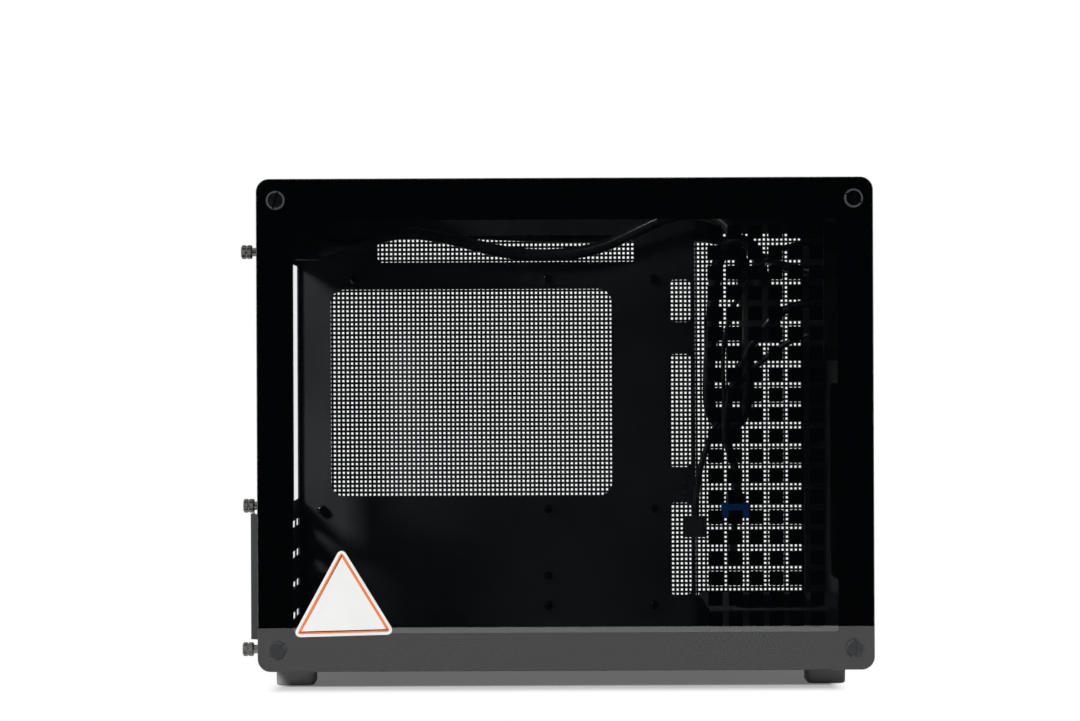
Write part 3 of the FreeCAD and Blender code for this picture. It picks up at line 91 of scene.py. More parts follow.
# Leads: points in millimetres, from the exit to the fitting
MAINS_ROUTE = (
    (-153.0, 25.5, 286.5), (-138.4, 25.5, 286.5), (-112.1, 29.0, 296.0), (-80.0, 34.0, 292.5),
    (-42.0, 38.5, 281.5), (-7.9, 40.0, 279.0), (24.0, 38.0, 283.5), (50.1, 34.0, 296.0),
    (72.0, 28.0, 306.0), (92.0, 22.0, 308.0), (109.0, 15.0, 302.0), (119.0, 9.0, 284.0),
    (121.4, 6.0, 252.0), (122.9, 8.0, 215.0), (123.6, 12.0, 190.0), (122.9, 13.5, 176.0),
    (118.5, 14.0, 166.0), (111.0, 14.0, 162.5), (102.9, 13.5, 165.5), (98.0, 12.0, 175.0),
    (97.1, 9.0, 192.0), (99.0, 3.0, 228.0), (100.5, -4.0, 256.0), (102.4, -7.0, 273.0),
    (108.0, -10.0, 284.0), (115.6, -12.0, 288.0), (122.9, -14.0, 285.5), (128.5, -15.0, 278.0),
    (129.9, -15.0, 268.0), (129.9, -15.0, 258.0),
)
PORT_EXIT = (168.8, -58.0, 252.0)
USB_ROUTE = (
    (0.0, 6.0, -6.0), (-16.0, 7.0, -7.5), (-33.0, 11.0, -16.0), (-46.0, 16.0, -33.0), (-56.0, 20.0, -54.0),
    (-63.0, 22.0, -76.0), (-63.0, 24.0, -97.0), (-56.0, 25.0, -114.0), (-56.0, 25.0, -132.0),
)
AUDIO_ROUTE = (
    (0.0, 6.0, -26.0), (-17.0, 10.0, -29.0), (-35.0, 16.0, -41.0), (-51.0, 24.0, -56.0),
    (-63.0, 29.0, -74.0), (-71.0, 30.0, -92.0), (-78.0, 31.0, -110.0), (-82.0, 32.0, -129.0),
    (-82.0, 32.0, -147.0),
)
USB_C_ROUTE = (
    (0.0, 5.92, 13.0), (-14.0, 9.92, 14.0), (-25.9, 28.0, 18.0), (-31.8, 57.92, 22.0),
    (-42.0, 92.0, 30.0), (-58.1, 120.0, 38.0), (-84.0, 134.08, 42.5), (-120.0, 136.96, 42.0),
    (-159.9, 134.08, 40.5), (-205.0, 132.0, 42.0), (-250.1, 132.96, 44.5), (-290.0, 135.04, 47.0),
    (-320.1, 136.0, 46.0), (-337.9, 136.0, 32.0), (-337.9, 136.0, 10.0),
)
SWITCH_ROUTE = (
    (0.0, 6.0, 30.0), (-14.0, 8.0, 32.0), (-30.0, 14.0, 28.0), (-46.0, 24.0, 12.0), (-58.0, 32.0, -10.0),
    (-64.0, 38.0, -36.0), (-63.0, 42.0, -66.0), (-59.0, 44.0, -96.0), (-56.0, 46.0, -124.0),
    (-56.0, 47.0, -146.0), (-56.0, 47.0, -160.0),
)


def from_ports(route):
    """A lead of the ports: its offsets counted from the middle of their strip."""
    return tuple(tuple(a + b for a, b in zip(PORT_EXIT, offset)) for offset in route)


class CaseSizes(PropertyGroup):
    hole_columns: IntProperty(
        name="Hole columns", description="Columns of fine holes in the perforated side", default=109, min=8
    )
    hole_rows: IntProperty(
        name="Hole rows", description="Rows of fine holes in the perforated side", default=83, min=8
    )
    hole_share: FloatProperty(
        name="Hole share", description="Width of a hole as a share of its pitch", default=0.505,
        min=0.1, max=0.9, subtype="FACTOR",
    )
    knurl_ridges: IntProperty(
        name="Knurl ridges", description="Ridges round a thumbscrew head", default=26, min=8
    )
    knurl_depth: FloatProperty(
        name="Knurl depth", description="Depth of the grooves of a thumbscrew head", default=0.00035,
        unit="LENGTH", subtype="DISTANCE",
    )
    film_rim: FloatProperty(
        name="Sticker rim", description="White rim of the sticker", default=0.0018,
        unit="LENGTH", subtype="DISTANCE",
    )
    film_line: FloatProperty(
        name="Sticker line", description="Width of the coloured line of the sticker", default=0.0017,
        unit="LENGTH", subtype="DISTANCE",
    )
    gauze_pitch: FloatProperty(
        name="Gauze pitch", description="Pitch of the threads in the dust filter", default=0.0012,
        unit="LENGTH", subtype="DISTANCE",
    )


def colour_setting(label, about, value):
    """One colour that a user may change."""
    return FloatVectorProperty(
        name=label, description=about, default=value, size=3, min=0.0, max=1.0, subtype="COLOR"
    )


class CaseColours(PropertyGroup):
    steel: colour_setting("Coated steel", "Powder coat of the sheet metal", (0.0220, 0.0238, 0.0262))
    plastic: colour_setting("Black plastic", "Moulded feet, strip and fittings", (0.013, 0.013, 0.0135))
    rubber: colour_setting("Rubber", "Feet", (0.20, 0.20, 0.202))
    ink: colour_setting("Ink", "Print on the back of the glass", (0.0012, 0.0013, 0.0016))
    sheath: colour_setting("Sheath", "Jacket of the leads", (0.016, 0.016, 0.017))
    film: colour_setting("Sticker film", "White film of the sticker", (0.87, 0.87, 0.865))
    keyline: colour_setting("Sticker line", "Printed line of the sticker", (0.87, 0.22, 0.06))
    blue: colour_setting("Blue plastic", "Header connector and port tongues", (0.01, 0.17, 0.72))
    board: colour_setting("Board", "Solder mask of the port board", (0.0025, 0.0075, 0.0045))
    bright: colour_setting("Bright steel", "Plated shells, pins and nuts", (0.56, 0.56, 0.55))
    nickel: colour_setting("Dark nickel", "Standoffs and screws of the glass", (0.062, 0.064, 0.068))
    thumb: colour_setting("Thumbscrews", "Knurled screws of the rear", (0.17, 0.168, 0.16))


class StudioSettings(PropertyGroup):
    camera_x: FloatProperty(
        name="Camera X", description="Camera place along the case", default=-0.0098,
        unit="LENGTH", subtype="DISTANCE",
    )
    camera_y: FloatProperty(
        name="Camera Y", description="Camera place in front of the glass", default=-2.0068,
        unit="LENGTH", subtype="DISTANCE",
    )
    camera_z: FloatProperty(
        name="Camera height", description="Camera height over the table", default=0.208,
        unit="LENGTH", subtype="DISTANCE",
    )
    camera_roll: FloatProperty(
        name="Camera roll", description="Turn of the camera about its own axis",
        default=math.radians(-0.24), subtype="ANGLE", unit="ROTATION",
    )
    lens: FloatProperty(
        name="Lens", description="Focal length on a 36 mm frame, in millimetres", default=100.0, min=10.0
    )
    table_front: FloatProperty(
        name="Table edge", description="Distance from the glass to the front edge of the table",
        default=0.434, unit="LENGTH", subtype="DISTANCE",
    )
    key_power: FloatProperty(
        name="Key lamp", description="Power of the high lamp over the glass side's rear end, in watts",
        default=38.0, min=0.0,
    )
    fill_power: FloatProperty(
        name="Fill lamp", description="Power of the weak lamp over the camera, in watts",
        default=2.0, min=0.0,
    )
    sky_share: FloatProperty(
        name="Backdrop share", description="How much of the white backdrop's light the case and table get",
        default=0.10, min=0.0, max=1.0, subtype="FACTOR",
    )
    sky_dark: FloatProperty(
        name="Room level", description="Level of the unlit room in front of the table",
        default=0.014, min=0.0,
    )


# Small helpers for node trees


class Net:
    """Adds nodes to one tree and joins them."""

    def __init__(self, tree):
        self.tree = tree

    def add(self, kind, inputs=None, **settings):
        node = self.tree.nodes.new(kind)
        for name, value in settings.items():
            setattr(node, name, value)
        for name, value in (inputs or {}).items():
            self.feed(node.inputs[name], value)
        return node

    def feed(self, socket, value):
        if isinstance(value, bpy.types.NodeSocket):
            self.tree.links.new(value, socket)
        else:
            socket.default_value = value

    def math(self, operation, *values, clamp=False):
        node = self.add("ShaderNodeMath", operation=operation, use_clamp=clamp)
        for socket, value in zip(node.inputs, values):
            self.feed(socket, value)
        return node.outputs["Value"]

    def span(self, value, low, high, out_low=0.0, out_high=1.0, **settings):
        """Carries a value from one range to another, without leaving the second."""
        node = self.add("ShaderNodeMapRange", {
            "Value": value, "From Min": low, "From Max": high, "To Min": out_low, "To Max": out_high,
        }, **settings)
        return node.outputs["Result"]

    def blend(self, share, first, second):
        """One colour to the other by the share; the mix node's colour sockets share their names."""
        node = self.add("ShaderNodeMix", data_type="RGBA")
        for place, value in ((0, share), (6, first), (7, second)):
            self.feed(node.inputs[place], value)
        return node.outputs[2]

    def mix(self, share, first, second):
        """One shader to the other by the share."""
        node = self.add("ShaderNodeMixShader", {"Fac": share})
        self.feed(node.inputs[1], first)
        self.feed(node.inputs[2], second)
        return node.outputs["Shader"]


def new_group(name, inputs, outputs):
    """A shader group with named number inputs, and its colours or numbers out."""
    group = bpy.data.node_groups.new(name, "ShaderNodeTree")
    for label, value in inputs.items():
        socket = group.interface.new_socket(label, in_out="INPUT", socket_type="NodeSocketFloat")
        socket.default_value = value
    for label in outputs:
        group.interface.new_socket(label, in_out="OUTPUT", socket_type="NodeSocketFloat")
    net = Net(group)
    return group, net, net.add("NodeGroupInput").outputs, net.add("NodeGroupOutput").inputs


def object_place(net, stretch=(1.0, 1.0, 1.0)):
    """Object coordinates, stretched along the axes."""
    place = net.add("ShaderNodeTexCoord").outputs["Object"]
    return net.add("ShaderNodeMapping", {"Vector": place, "Scale": stretch}).outputs["Vector"]


def grain_group():
    """Fine grain for the height of a surface, and slow clouds for its tone."""
    group, net, given, out = new_group(
        "Fine Grain", {"Grain Scale": 1600.0, "Cloud Scale": 14.0}, ("Height", "Cloud")
    )
    place = object_place(net)
    fine = net.add("ShaderNodeTexNoise", {
        "Vector": place, "Scale": given["Grain Scale"], "Detail": 2.0, "Roughness": 0.6,
    })
    broad = net.math("MULTIPLY", given["Grain Scale"], 0.21)
    coarse = net.add("ShaderNodeTexNoise", {"Vector": place, "Scale": broad, "Detail": 1.0})
    cloud = net.add("ShaderNodeTexNoise", {
        "Vector": place, "Scale": given["Cloud Scale"], "Detail": 4.0, "Roughness": 0.55,
    })
    mixed = net.math("ADD", fine.outputs["Fac"], net.math("MULTIPLY", coarse.outputs["Fac"], 0.8))
    net.feed(out["Height"], mixed)
    net.feed(out["Cloud"], net.span(cloud.outputs["Fac"], 0.3, 0.7))
    return group


def marks_group():
    """Handling marks: sparse thin scuffs that change the gloss."""
    group, net, given, out = new_group("Handling Marks", {"Scale": 60.0, "Density": 0.5}, ("Mask",))
    long_way = object_place(net, (1.0, 1.0, 0.12))
    streaks = net.add("ShaderNodeTexNoise", {
        "Vector": long_way, "Scale": given["Scale"], "Detail": 5.0, "Roughness": 0.75, "Distortion": 0.6,
    })
    patch = net.add("ShaderNodeTexNoise", {"Vector": object_place(net), "Scale": 9.0, "Detail": 2.0})
    edge = net.math("SUBTRACT", 0.78, net.math("MULTIPLY", given["Density"], 0.12))
    thin = net.span(streaks.outputs["Fac"], edge, 0.8)
    net.feed(out["Mask"], net.math("MULTIPLY", thin, net.span(patch.outputs["Fac"], 0.42, 0.62)))
    return group


def dust_group():
    """Thin dust on what faces up."""
    group, net, given, out = new_group("Settled Dust", {"Amount": 0.3}, ("Mask",))
    normal = net.add("ShaderNodeNewGeometry").outputs["Normal"]
    facing = net.add("ShaderNodeSeparateXYZ", {"Vector": normal})
    upward = net.span(facing.outputs["Z"], 0.55, 1.0)
    speck = net.add("ShaderNodeTexNoise", {
        "Vector": object_place(net), "Scale": 420.0, "Detail": 3.0, "Roughness": 0.8,
    })
    cloud = net.add("ShaderNodeTexNoise", {"Vector": object_place(net), "Scale": 11.0, "Detail": 3.0})
    dots = net.math("MULTIPLY", net.span(speck.outputs["Fac"], 0.52, 0.72), cloud.outputs["Fac"])
    net.feed(out["Mask"], net.math("MULTIPLY", net.math("MULTIPLY", dots, upward), given["Amount"]))
    return group


class Effects:
    """The shader groups that the finishes share, each made when it is first used."""

    made = {}
    makers = {"grain": grain_group, "marks": marks_group, "dust": dust_group}

    @classmethod
    def node(cls, net, name, **values):
        if name not in cls.made:
            cls.made[name] = cls.makers[name]()
        node = net.add("ShaderNodeGroup", node_tree=cls.made[name])
        for label, value in values.items():
            net.feed(node.inputs[label.replace("_", " ").title()], value)
        return node.outputs


def new_finish(name):
    """An empty material with its principled shader joined to the output."""
    finish = bpy.data.materials.new(name)
    finish.use_nodes = True
    finish.node_tree.nodes.clear()
    net = Net(finish.node_tree)
    shader = net.add("ShaderNodeBsdfPrincipled")
    output = net.add("ShaderNodeOutputMaterial", {"Surface": shader.outputs["BSDF"]})
    return finish, net, shader.inputs, output.inputs


def rgba(colour, gain=1.0):
    return (colour[0] * gain, colour[1] * gain, colour[2] * gain, 1.0)


# How the shared effects act on every finish
GLOSS_SWING = 0.05
SCUFF_GLOSS = 0.18
SCUFF_SHARE = 0.35
SCUFF_GAIN = 2.6
DUST_COLOUR = (0.32, 0.31, 0.29, 1.0)
DUST_GLOSS = 0.4
BUMP_STRENGTH = 0.6


def surface(
    name, colour, rough, grain, depth,
    cloud=14.0, metal=0.0, marks=0.0, dust=0.0, swing=0.25, specular=None,
):
    """A finish with grain, slow variation, handling marks and dust; depth is its bump in metres."""
    finish, net, shader, _ = new_finish(name)
    grains = Effects.node(net, "grain", grain_scale=grain, cloud_scale=cloud)
    base = net.blend(grains["Cloud"], rgba(colour, 1 - swing), rgba(colour, 1 + swing))
    gloss = net.span(grains["Cloud"], 0.0, 1.0, rough - GLOSS_SWING, rough + GLOSS_SWING)
    if marks:
        scuffs = Effects.node(net, "marks", density=marks)["Mask"]
        gloss = net.math("ADD", gloss, net.math("MULTIPLY", scuffs, SCUFF_GLOSS), clamp=True)
        base = net.blend(net.math("MULTIPLY", scuffs, SCUFF_SHARE), base, rgba(colour, SCUFF_GAIN))
    if dust:
        settled = Effects.node(net, "dust", amount=dust)["Mask"]
        base = net.blend(settled, base, DUST_COLOUR)
        gloss = net.math("ADD", gloss, net.math("MULTIPLY", settled, DUST_GLOSS), clamp=True)
    bump = net.add("ShaderNodeBump", {
        "Strength": BUMP_STRENGTH, "Distance": depth, "Height": grains["Height"],
    })
    net.feed(shader["Base Color"], base)
    net.feed(shader["Roughness"], gloss)
    net.feed(shader["Metallic"], metal)
    net.feed(shader["Normal"], bump.outputs["Normal"])
    if specular is not None:
        shader["Specular IOR Level"].default_value = specular
    return finish, net, shader


# Finishes that are one such surface; the colour is a setting's name, or red, green and blue.
# The ink is in contact with the glass, so it has no gloss of its own.
SURFACES = {
    "steel": dict(
        name="coated steel", colour="steel", rough=0.40, grain=1500.0, depth=0.00006,
        marks=0.5, dust=0.10, specular=0.36,
    ),
    "plastic": dict(
        name="moulded plastic", colour="plastic", rough=0.46, grain=2200.0, depth=0.00004,
        cloud=30.0, marks=0.4, dust=0.08,
    ),
    "tongue": dict(
        name="tongue plastic", colour="plastic", rough=0.36, grain=1900.0, depth=0.00002, cloud=60.0,
    ),
    "blue": dict(
        name="blue plastic", colour="blue", rough=0.38, grain=1900.0, depth=0.00003, cloud=60.0,
    ),
    "rubber": dict(
        name="soft rubber", colour="rubber", rough=0.72, grain=1100.0, depth=0.00008,
        cloud=40.0, dust=0.15,
    ),
    "sheath": dict(
        name="lead sheath", colour="sheath", rough=0.28, grain=900.0, depth=0.00008,
        cloud=25.0, dust=0.12,
    ),
    "nickel": dict(
        name="dark nickel", colour="nickel", rough=0.20, grain=2600.0, depth=0.00001,
        cloud=90.0, metal=1.0, marks=0.4,
    ),
    "screw": dict(
        name="black screw", colour="nickel", rough=0.22, grain=3000.0, depth=0.000015,
        cloud=120.0, metal=1.0, marks=0.6,
    ),
    "knurled": dict(
        name="knurled screw", colour="thumb", rough=0.30, grain=3000.0, depth=0.000015,
        cloud=120.0, metal=1.0, marks=0.6,
    ),
    "bright": dict(
        name="bright steel", colour="bright", rough=0.26, grain=2400.0, depth=0.00001,
        cloud=70.0, metal=1.0, marks=0.7, swing=0.1,
    ),
    "brass": dict(
        name="brass contact", colour=(0.62, 0.42, 0.13), rough=0.25, grain=2600.0, depth=0.00001,
        cloud=90.0, metal=1.0,
    ),
    "board": dict(
        name="board mask", colour="board", rough=0.30, grain=900.0, depth=0.00003,
        cloud=45.0, swing=0.4,
    ),
    "ink": dict(
        name="window ink", colour="ink", rough=0.6, grain=1800.0, depth=0.00001,
        cloud=20.0, specular=0.0,
    ),
    "film": dict(
        name="sticker film", colour="film", rough=0.42, grain=1300.0, depth=0.00002,
        cloud=50.0, swing=0.02,
    ),
    "line": dict(
        name="sticker line", colour="keyline", rough=0.46, grain=1500.0, depth=0.00001,
        cloud=160.0, swing=0.08,
    ),
}


def plain_finish(colour, **look):
    """A row of the table above as a material."""
    if isinstance(colour, str):
        colour = getattr(bpy.context.scene.case_colours, colour)
    return surface(colour=colour, **look)[0]


GLASS_TINT = (0.93, 0.96, 0.955, 1.0)
GLASS_IOR = 1.70
WIPE_ROUGHNESS = 0.012
# What each face of the glass lets through of a lamp's light
GLASS_PASS = (0.27, 0.275, 0.275, 1.0)


def clear_glass():
    """Toughened clear glass with faint wipe marks; it lets a little of the lamps' light in."""
    finish, net, shader, output = new_finish("clear glass")
    wipes = Effects.node(net, "marks", density=0.3, scale=24.0)["Mask"]
    net.feed(shader["Roughness"], net.math("MULTIPLY", wipes, WIPE_ROUGHNESS))
    shader["Base Color"].default_value = GLASS_TINT
    shader["Transmission Weight"].default_value = 1.0
    shader["IOR"].default_value = GLASS_IOR
    solid = output["Surface"].links[0].from_socket
    passing = net.add("ShaderNodeBsdfTransparent", {"Color": GLASS_PASS}).outputs["BSDF"]
    to_lamp = net.add("ShaderNodeLightPath").outputs["Is Shadow Ray"]
    net.feed(output["Surface"], net.mix(to_lamp, solid, passing))
    return finish


# The rise of a wave between the threads over which the gauze goes from thread to gap
THREAD_EDGE = (-0.05, 0.1)


def filter_gauze():
    """Woven threads with open squares between them."""
    finish, net, shader = surface("filter gauze", (0.012, 0.012, 0.013), 0.6, 1800.0, 0.00001)
    pitch = bpy.context.scene.case_sizes.gauze_pitch
    ways = net.add("ShaderNodeSeparateXYZ", {"Vector": object_place(net)})
    gaps = []
    for way in ("X", "Y"):
        wave = net.math("SINE", net.math("MULTIPLY", ways.outputs[way], 2 * math.pi / pitch))
        gaps.append(net.span(wave, *THREAD_EDGE))
    gap = net.math("MULTIPLY", *gaps)
    net.feed(shader["Alpha"], net.math("SUBTRACT", 1.0, gap))
    return finish


OTHER_FINISHES = {"glass": clear_glass, "gauze": filter_gauze}
made_finishes = {}


def finish_named(name):
    """The material of a finish, made when it is first asked for."""
    if name not in made_finishes:
        if name in SURFACES:
            made_finishes[name] = plain_finish(**SURFACES[name])
        else:
            made_finishes[name] = OTHER_FINISHES[name]()
    return made_finishes[name]


# Mesh work


def new_piece(name, bm, finishes, body=MAIN_BODY, smooth=None):
    """Turns a finished mesh into a piece that rides on a body."""
    mesh = bpy.data.meshes.new(name)
    bm.to_mesh(mesh)
    bm.free()
    piece = bpy.data.objects.new(name, mesh)
    bpy.context.scene.collection.objects.link(piece)
    for finish in finishes:
        mesh.materials.append(finish_named(finish))
    if smooth is not None:
        mesh.polygons.foreach_set("use_smooth", [True] * len(mesh.polygons))
        mesh.set_sharp_from_angle(angle=smooth)
    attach(piece, body)
    return piece


def merged_copy(node):
    """A copy of a CAD node's mesh, with its loose triangles joined."""
    bm = bmesh.new()
    bm.from_mesh(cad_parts[node].data)
    bmesh.ops.remove_doubles(bm, verts=bm.verts, dist=WELD)
    return bm


def islands(node):
    """Lowest and highest corner of each separate solid of a CAD node."""
    bm = merged_copy(node)
    left = set(bm.verts)
    boxes = []
    while left:
        pile = [left.pop()]
        found = []
        while pile:
            vert = pile.pop()
            found.append(vert.co.copy())
            for edge in vert.link_edges:
                other = edge.other_vert(vert)
                if other in left:
                    left.remove(other)
                    pile.append(other)
        low = Vector(min(co[i] for co in found) for i in range(3))
        high = Vector(max(co[i] for co in found) for i in range(3))
        boxes.append((low, high))
    bm.free()
    return sorted(boxes, key=lambda pair: tuple(round(v, 5) for v in pair[0]))


def turned(profile, steps):
    """Spins (radius, height) points in millimetres about Z into a closed shape."""
    bm = bmesh.new()
    verts = [bm.verts.new((radius * MM, 0.0, height * MM)) for radius, height in profile]
    edges = [bm.edges.new(pair) for pair in zip(verts, verts[1:])]
    bmesh.ops.spin(
        bm, geom=verts + edges, cent=(0, 0, 0), axis=(0, 0, 1), dvec=(0, 0, 0), angle=2 * math.pi,
        steps=steps, use_merge=True, use_normal_flip=False, use_duplicate=False,
    )
    bmesh.ops.remove_doubles(bm, verts=bm.verts, dist=FINE_WELD)
    bmesh.ops.recalc_face_normals(bm, faces=bm.faces)
    return bm


def thicken(bm, rise):
    """Raises a flat mesh into a sheet along Z, with its faces turned outwards."""
    grown = bmesh.ops.extrude_face_region(bm, geom=bm.faces[:])["geom"]
    tops = [part for part in grown if isinstance(part, bmesh.types.BMVert)]
    bmesh.ops.translate(bm, verts=tops, vec=(0.0, 0.0, rise))
    bmesh.ops.recalc_face_normals(bm, faces=bm.faces)


def repeated(bm, places):
    """One mesh with a copy of bm at each place; bm is used up."""
    master = bpy.data.meshes.new("master")
    bm.to_mesh(master)
    bm.free()
    whole = bmesh.new()
    for place in places:
        start = len(whole.verts)
        whole.from_mesh(master)
        whole.verts.ensure_lookup_table()
        bmesh.ops.transform(whole, matrix=place, verts=whole.verts[start:])
    bpy.data.meshes.remove(master)
    return whole


ROUND_ANGLE = math.radians(32)


def rounds_tree():
    """Geometry nodes that join the loose triangles of a CAD node and smooth its rounds."""
    tree = bpy.data.node_groups.new("Smooth Rounds", "GeometryNodeTree")
    for way in ("INPUT", "OUTPUT"):
        tree.interface.new_socket("Geometry", in_out=way, socket_type="NodeSocketGeometry")
    net = Net(tree)
    given = net.add("NodeGroupInput").outputs["Geometry"]
    joined = net.add("GeometryNodeMergeByDistance", {"Geometry": given, "Distance": WELD})
    turn = net.add("GeometryNodeInputMeshEdgeAngle").outputs["Unsigned Angle"]
    soft = net.add("FunctionNodeCompare", {"A": turn, "B": ROUND_ANGLE}, operation="LESS_THAN")
    faces = net.add("GeometryNodeSetShadeSmooth", {"Geometry": joined.outputs["Geometry"]}, domain="FACE")
    edges = net.add("GeometryNodeSetShadeSmooth", {
        "Geometry": faces.outputs["Geometry"], "Shade Smooth": soft.outputs["Result"],
    }, domain="EDGE")
    net.add("NodeGroupOutput", {"Geometry": edges.outputs["Geometry"]})
    return tree


CARRIED_OVER = {
    "steel": (
        "side_frame", "rear_panel", "outer_wrap", "motherboard_tray", "slot_cover_1", "slot_cover_2",
        "slot_cover_3", "slot_cover_4", "slot_guard", "front_channel", "supply_carrier",
    ),
    "plastic": (
        "mains_inlet", "inlet_boot", "port_strip", "power_button", "power_switch", "audio_jack",
        "filter_rail_rear", "filter_rail_front", "dust_filter", "mains_plug", "audio_connector",
        "usb_c_connector", "switch_connector",
    ),
    "rubber": ("glass_washers", "foot_rear_near", "foot_front_near", "foot_rear_far", "foot_front_far"),
    "screw": ("glass_screws",),
    "bright": ("glass_nuts", "inlet_pins"),
    "board": ("port_board",),
    "glass": ("glass_panel",),
}


class CASE_OT_finish_solids(Operator):
    """Give every carried-over solid its finish"""
    bl_idname = "case.finish_solids"
    bl_label = "Finish the Solids"

    def execute(self, context):
        rounds = rounds_tree()
        for finish, nodes in CARRIED_OVER.items():
            for name in nodes:
                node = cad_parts[name]
                node.data.materials.clear()
                node.data.materials.append(finish_named(finish))
                node.modifiers.new("Smooth Rounds", "NODES").node_group = rounds
        return {"FINISHED"}


def lay_lead(name, route, diameter, stands_for):
    """A lead on a smooth line through its route."""
    curve = bpy.data.curves.new(name, "CURVE")
    curve.dimensions = "3D"
    curve.bevel_depth = diameter / 2
    curve.bevel_resolution = 7
    curve.resolution_u = 14
    curve.use_fill_caps = True
    spline = curve.splines.new("NURBS")
    spline.points.add(len(route) - 1)
    for point, place in zip(spline.points, route):
        point.co = (*spot(*place), 1.0)
    spline.order_u = 3
    spline.use_endpoint_u = True
    curve.materials.append(finish_named("sheath"))
    lead = bpy.data.objects.new(name, curve)
    bpy.context.scene.collection.objects.link(lead)
    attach(lead, MAIN_BODY)
    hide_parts(stands_for)
    return lead


# Leads: name, route, length and thickness in millimetres, node, kind of far end, fitting on it, bend
LEADS = (
    ("mains_lead", MAINS_ROUTE, 598.8, 8.4, "mains_extension_cord", "plug", "mains_plug", "medium"),
    ("usb_lead", from_ports(USB_ROUTE), 160.6, 5.6, "usb_cable",
     "connector", "header_plug", "medium"),
    ("audio_lead", from_ports(AUDIO_ROUTE), 161.7, 4.0, "audio_cable",
     "connector", "audio_connector", "limp"),
    ("usb_c_lead", from_ports(USB_C_ROUTE), 443.3, 6.4, "usb_c_cable",
     "connector", "usb_c_connector", "medium"),
    ("switch_lead", from_ports(SWITCH_ROUTE), 234.0, 3.0, "switch_cable",
     "connector", "switch_connector", "limp"),
)


class CASE_OT_leads(Operator):
    """Lay the mains lead and the leads of the front ports"""
    bl_idname = "case.leads"
    bl_label = "Leads"

    def execute(self, context):
        for name, route, length, thick, node, end, fitting, bend in LEADS:
            lead = lay_lead(name, route, thick * MM, node)
        return {"FINISHED"}


# Edges of the punched field of the perforated side, in millimetres
FIELD_LOW = (-168.0, 42.0)
FIELD_HIGH = (168.0, 297.0)
PLATE_NEAR, PLATE_FAR = 102.0, 103.0
# A corner of the grid is numbered by its column times this, plus its row
COLUMN_STRIDE = 1000


def clear_field(bm, low, high):
    """Cuts the coarse holes of the CAD panel out of its sheet, with the sheet between them."""
    for axis in (0, 2):
        for corner in (low, high):
            at, normal = Vector((0.0, 0.0, 0.0)), Vector((0.0, 0.0, 0.0))
            at[axis], normal[axis] = corner[axis], 1.0
            bmesh.ops.bisect_plane(
                bm, geom=bm.verts[:] + bm.edges[:] + bm.faces[:], dist=FINE_WELD,
                plane_co=at, plane_no=normal,
            )
    inside = []
    for face in bm.faces:
        middle = face.calc_center_median()
        in_field = low.x < middle.x < high.x and low.z < middle.z < high.z
        if in_field and middle.y > low.y - 1.0 * MM:
            inside.append(face)
    bmesh.ops.delete(bm, geom=inside, context="FACES")


def punch_line(i, count, pitch, hole):
    """Distance of a cut edge from the start of the field."""
    if i == 0:
        return 0.0
    if i == 2 * count + 1:
        return count * pitch
    return ((i - 1) // 2) * pitch + (pitch - hole) / 2 + (hole if (i - 1) % 2 else 0.0)


def punch_lines(count, length, share):
    """Every cut edge along one side of the field."""
    pitch = length / count
    return [punch_line(i, count, pitch, pitch * share) for i in range(2 * count + 2)]


def punched_sheet(low, high, sizes):
    """An upright sheet with fine square holes that fills the field."""
    bm = bmesh.new()
    cells_x, cells_z = 2 * sizes.hole_columns + 1, 2 * sizes.hole_rows + 1
    bmesh.ops.create_grid(bm, x_segments=cells_x, y_segments=cells_z, size=0.5)
    lines_x = punch_lines(sizes.hole_columns, high.x - low.x, sizes.hole_share)
    lines_z = punch_lines(sizes.hole_rows, high.z - low.z, sizes.hole_share)
    for vert in bm.verts:
        i = round((vert.co.x + 0.5) * cells_x)
        j = round((vert.co.y + 0.5) * cells_z)
        vert.co = (lines_x[i], lines_z[j], 0.0)
        vert.index = i * COLUMN_STRIDE + j
    holes = []
    for face in bm.faces:
        column, row = divmod(min(vert.index for vert in face.verts), COLUMN_STRIDE)
        if column % 2 and row % 2:
            holes.append(face)
    bmesh.ops.delete(bm, geom=holes, context="FACES")
    thicken(bm, (PLATE_FAR - PLATE_NEAR) * MM)
    upright = Matrix.Translation((low.x, high.y, low.z)) @ Matrix.Rotation(QUARTER_TURN, 4, "X")
    bmesh.ops.transform(bm, matrix=upright, verts=bm.verts)
    return bm


class CASE_OT_perforated_side(Operator):
    """Punch the fine square holes of the side behind the board"""
    bl_idname = "case.perforated_side"
    bl_label = "Perforated Side"

    def execute(self, context):
        low = spot(FIELD_LOW[0], PLATE_NEAR, FIELD_LOW[1])
        high = spot(FIELD_HIGH[0], PLATE_FAR, FIELD_HIGH[1])
        bm = merged_copy("mesh_panel")
        clear_field(bm, low, high)
        sheet = bpy.data.meshes.new("punched")
        punched = punched_sheet(low, high, context.scene.case_sizes)
        punched.to_mesh(sheet)
        punched.free()
        bm.from_mesh(sheet)
        bpy.data.meshes.remove(sheet)
        side = new_piece("perforated_side", bm, ["steel"])
        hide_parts("mesh_panel")
        return {"FINISHED"}


# The ink runs out to the very edge of the glass: whatever lies on the print's outline, which has
# rounded corners, moves out by the spread. The ink lies a hair inside the glass, so no gap shines.
PRINT_CORNER = 7.5 * MM
PRINT_SLACK = 0.1 * MM
PRINT_SPREAD = 0.75 * MM
PRINT_DEPTH = 0.02 * MM


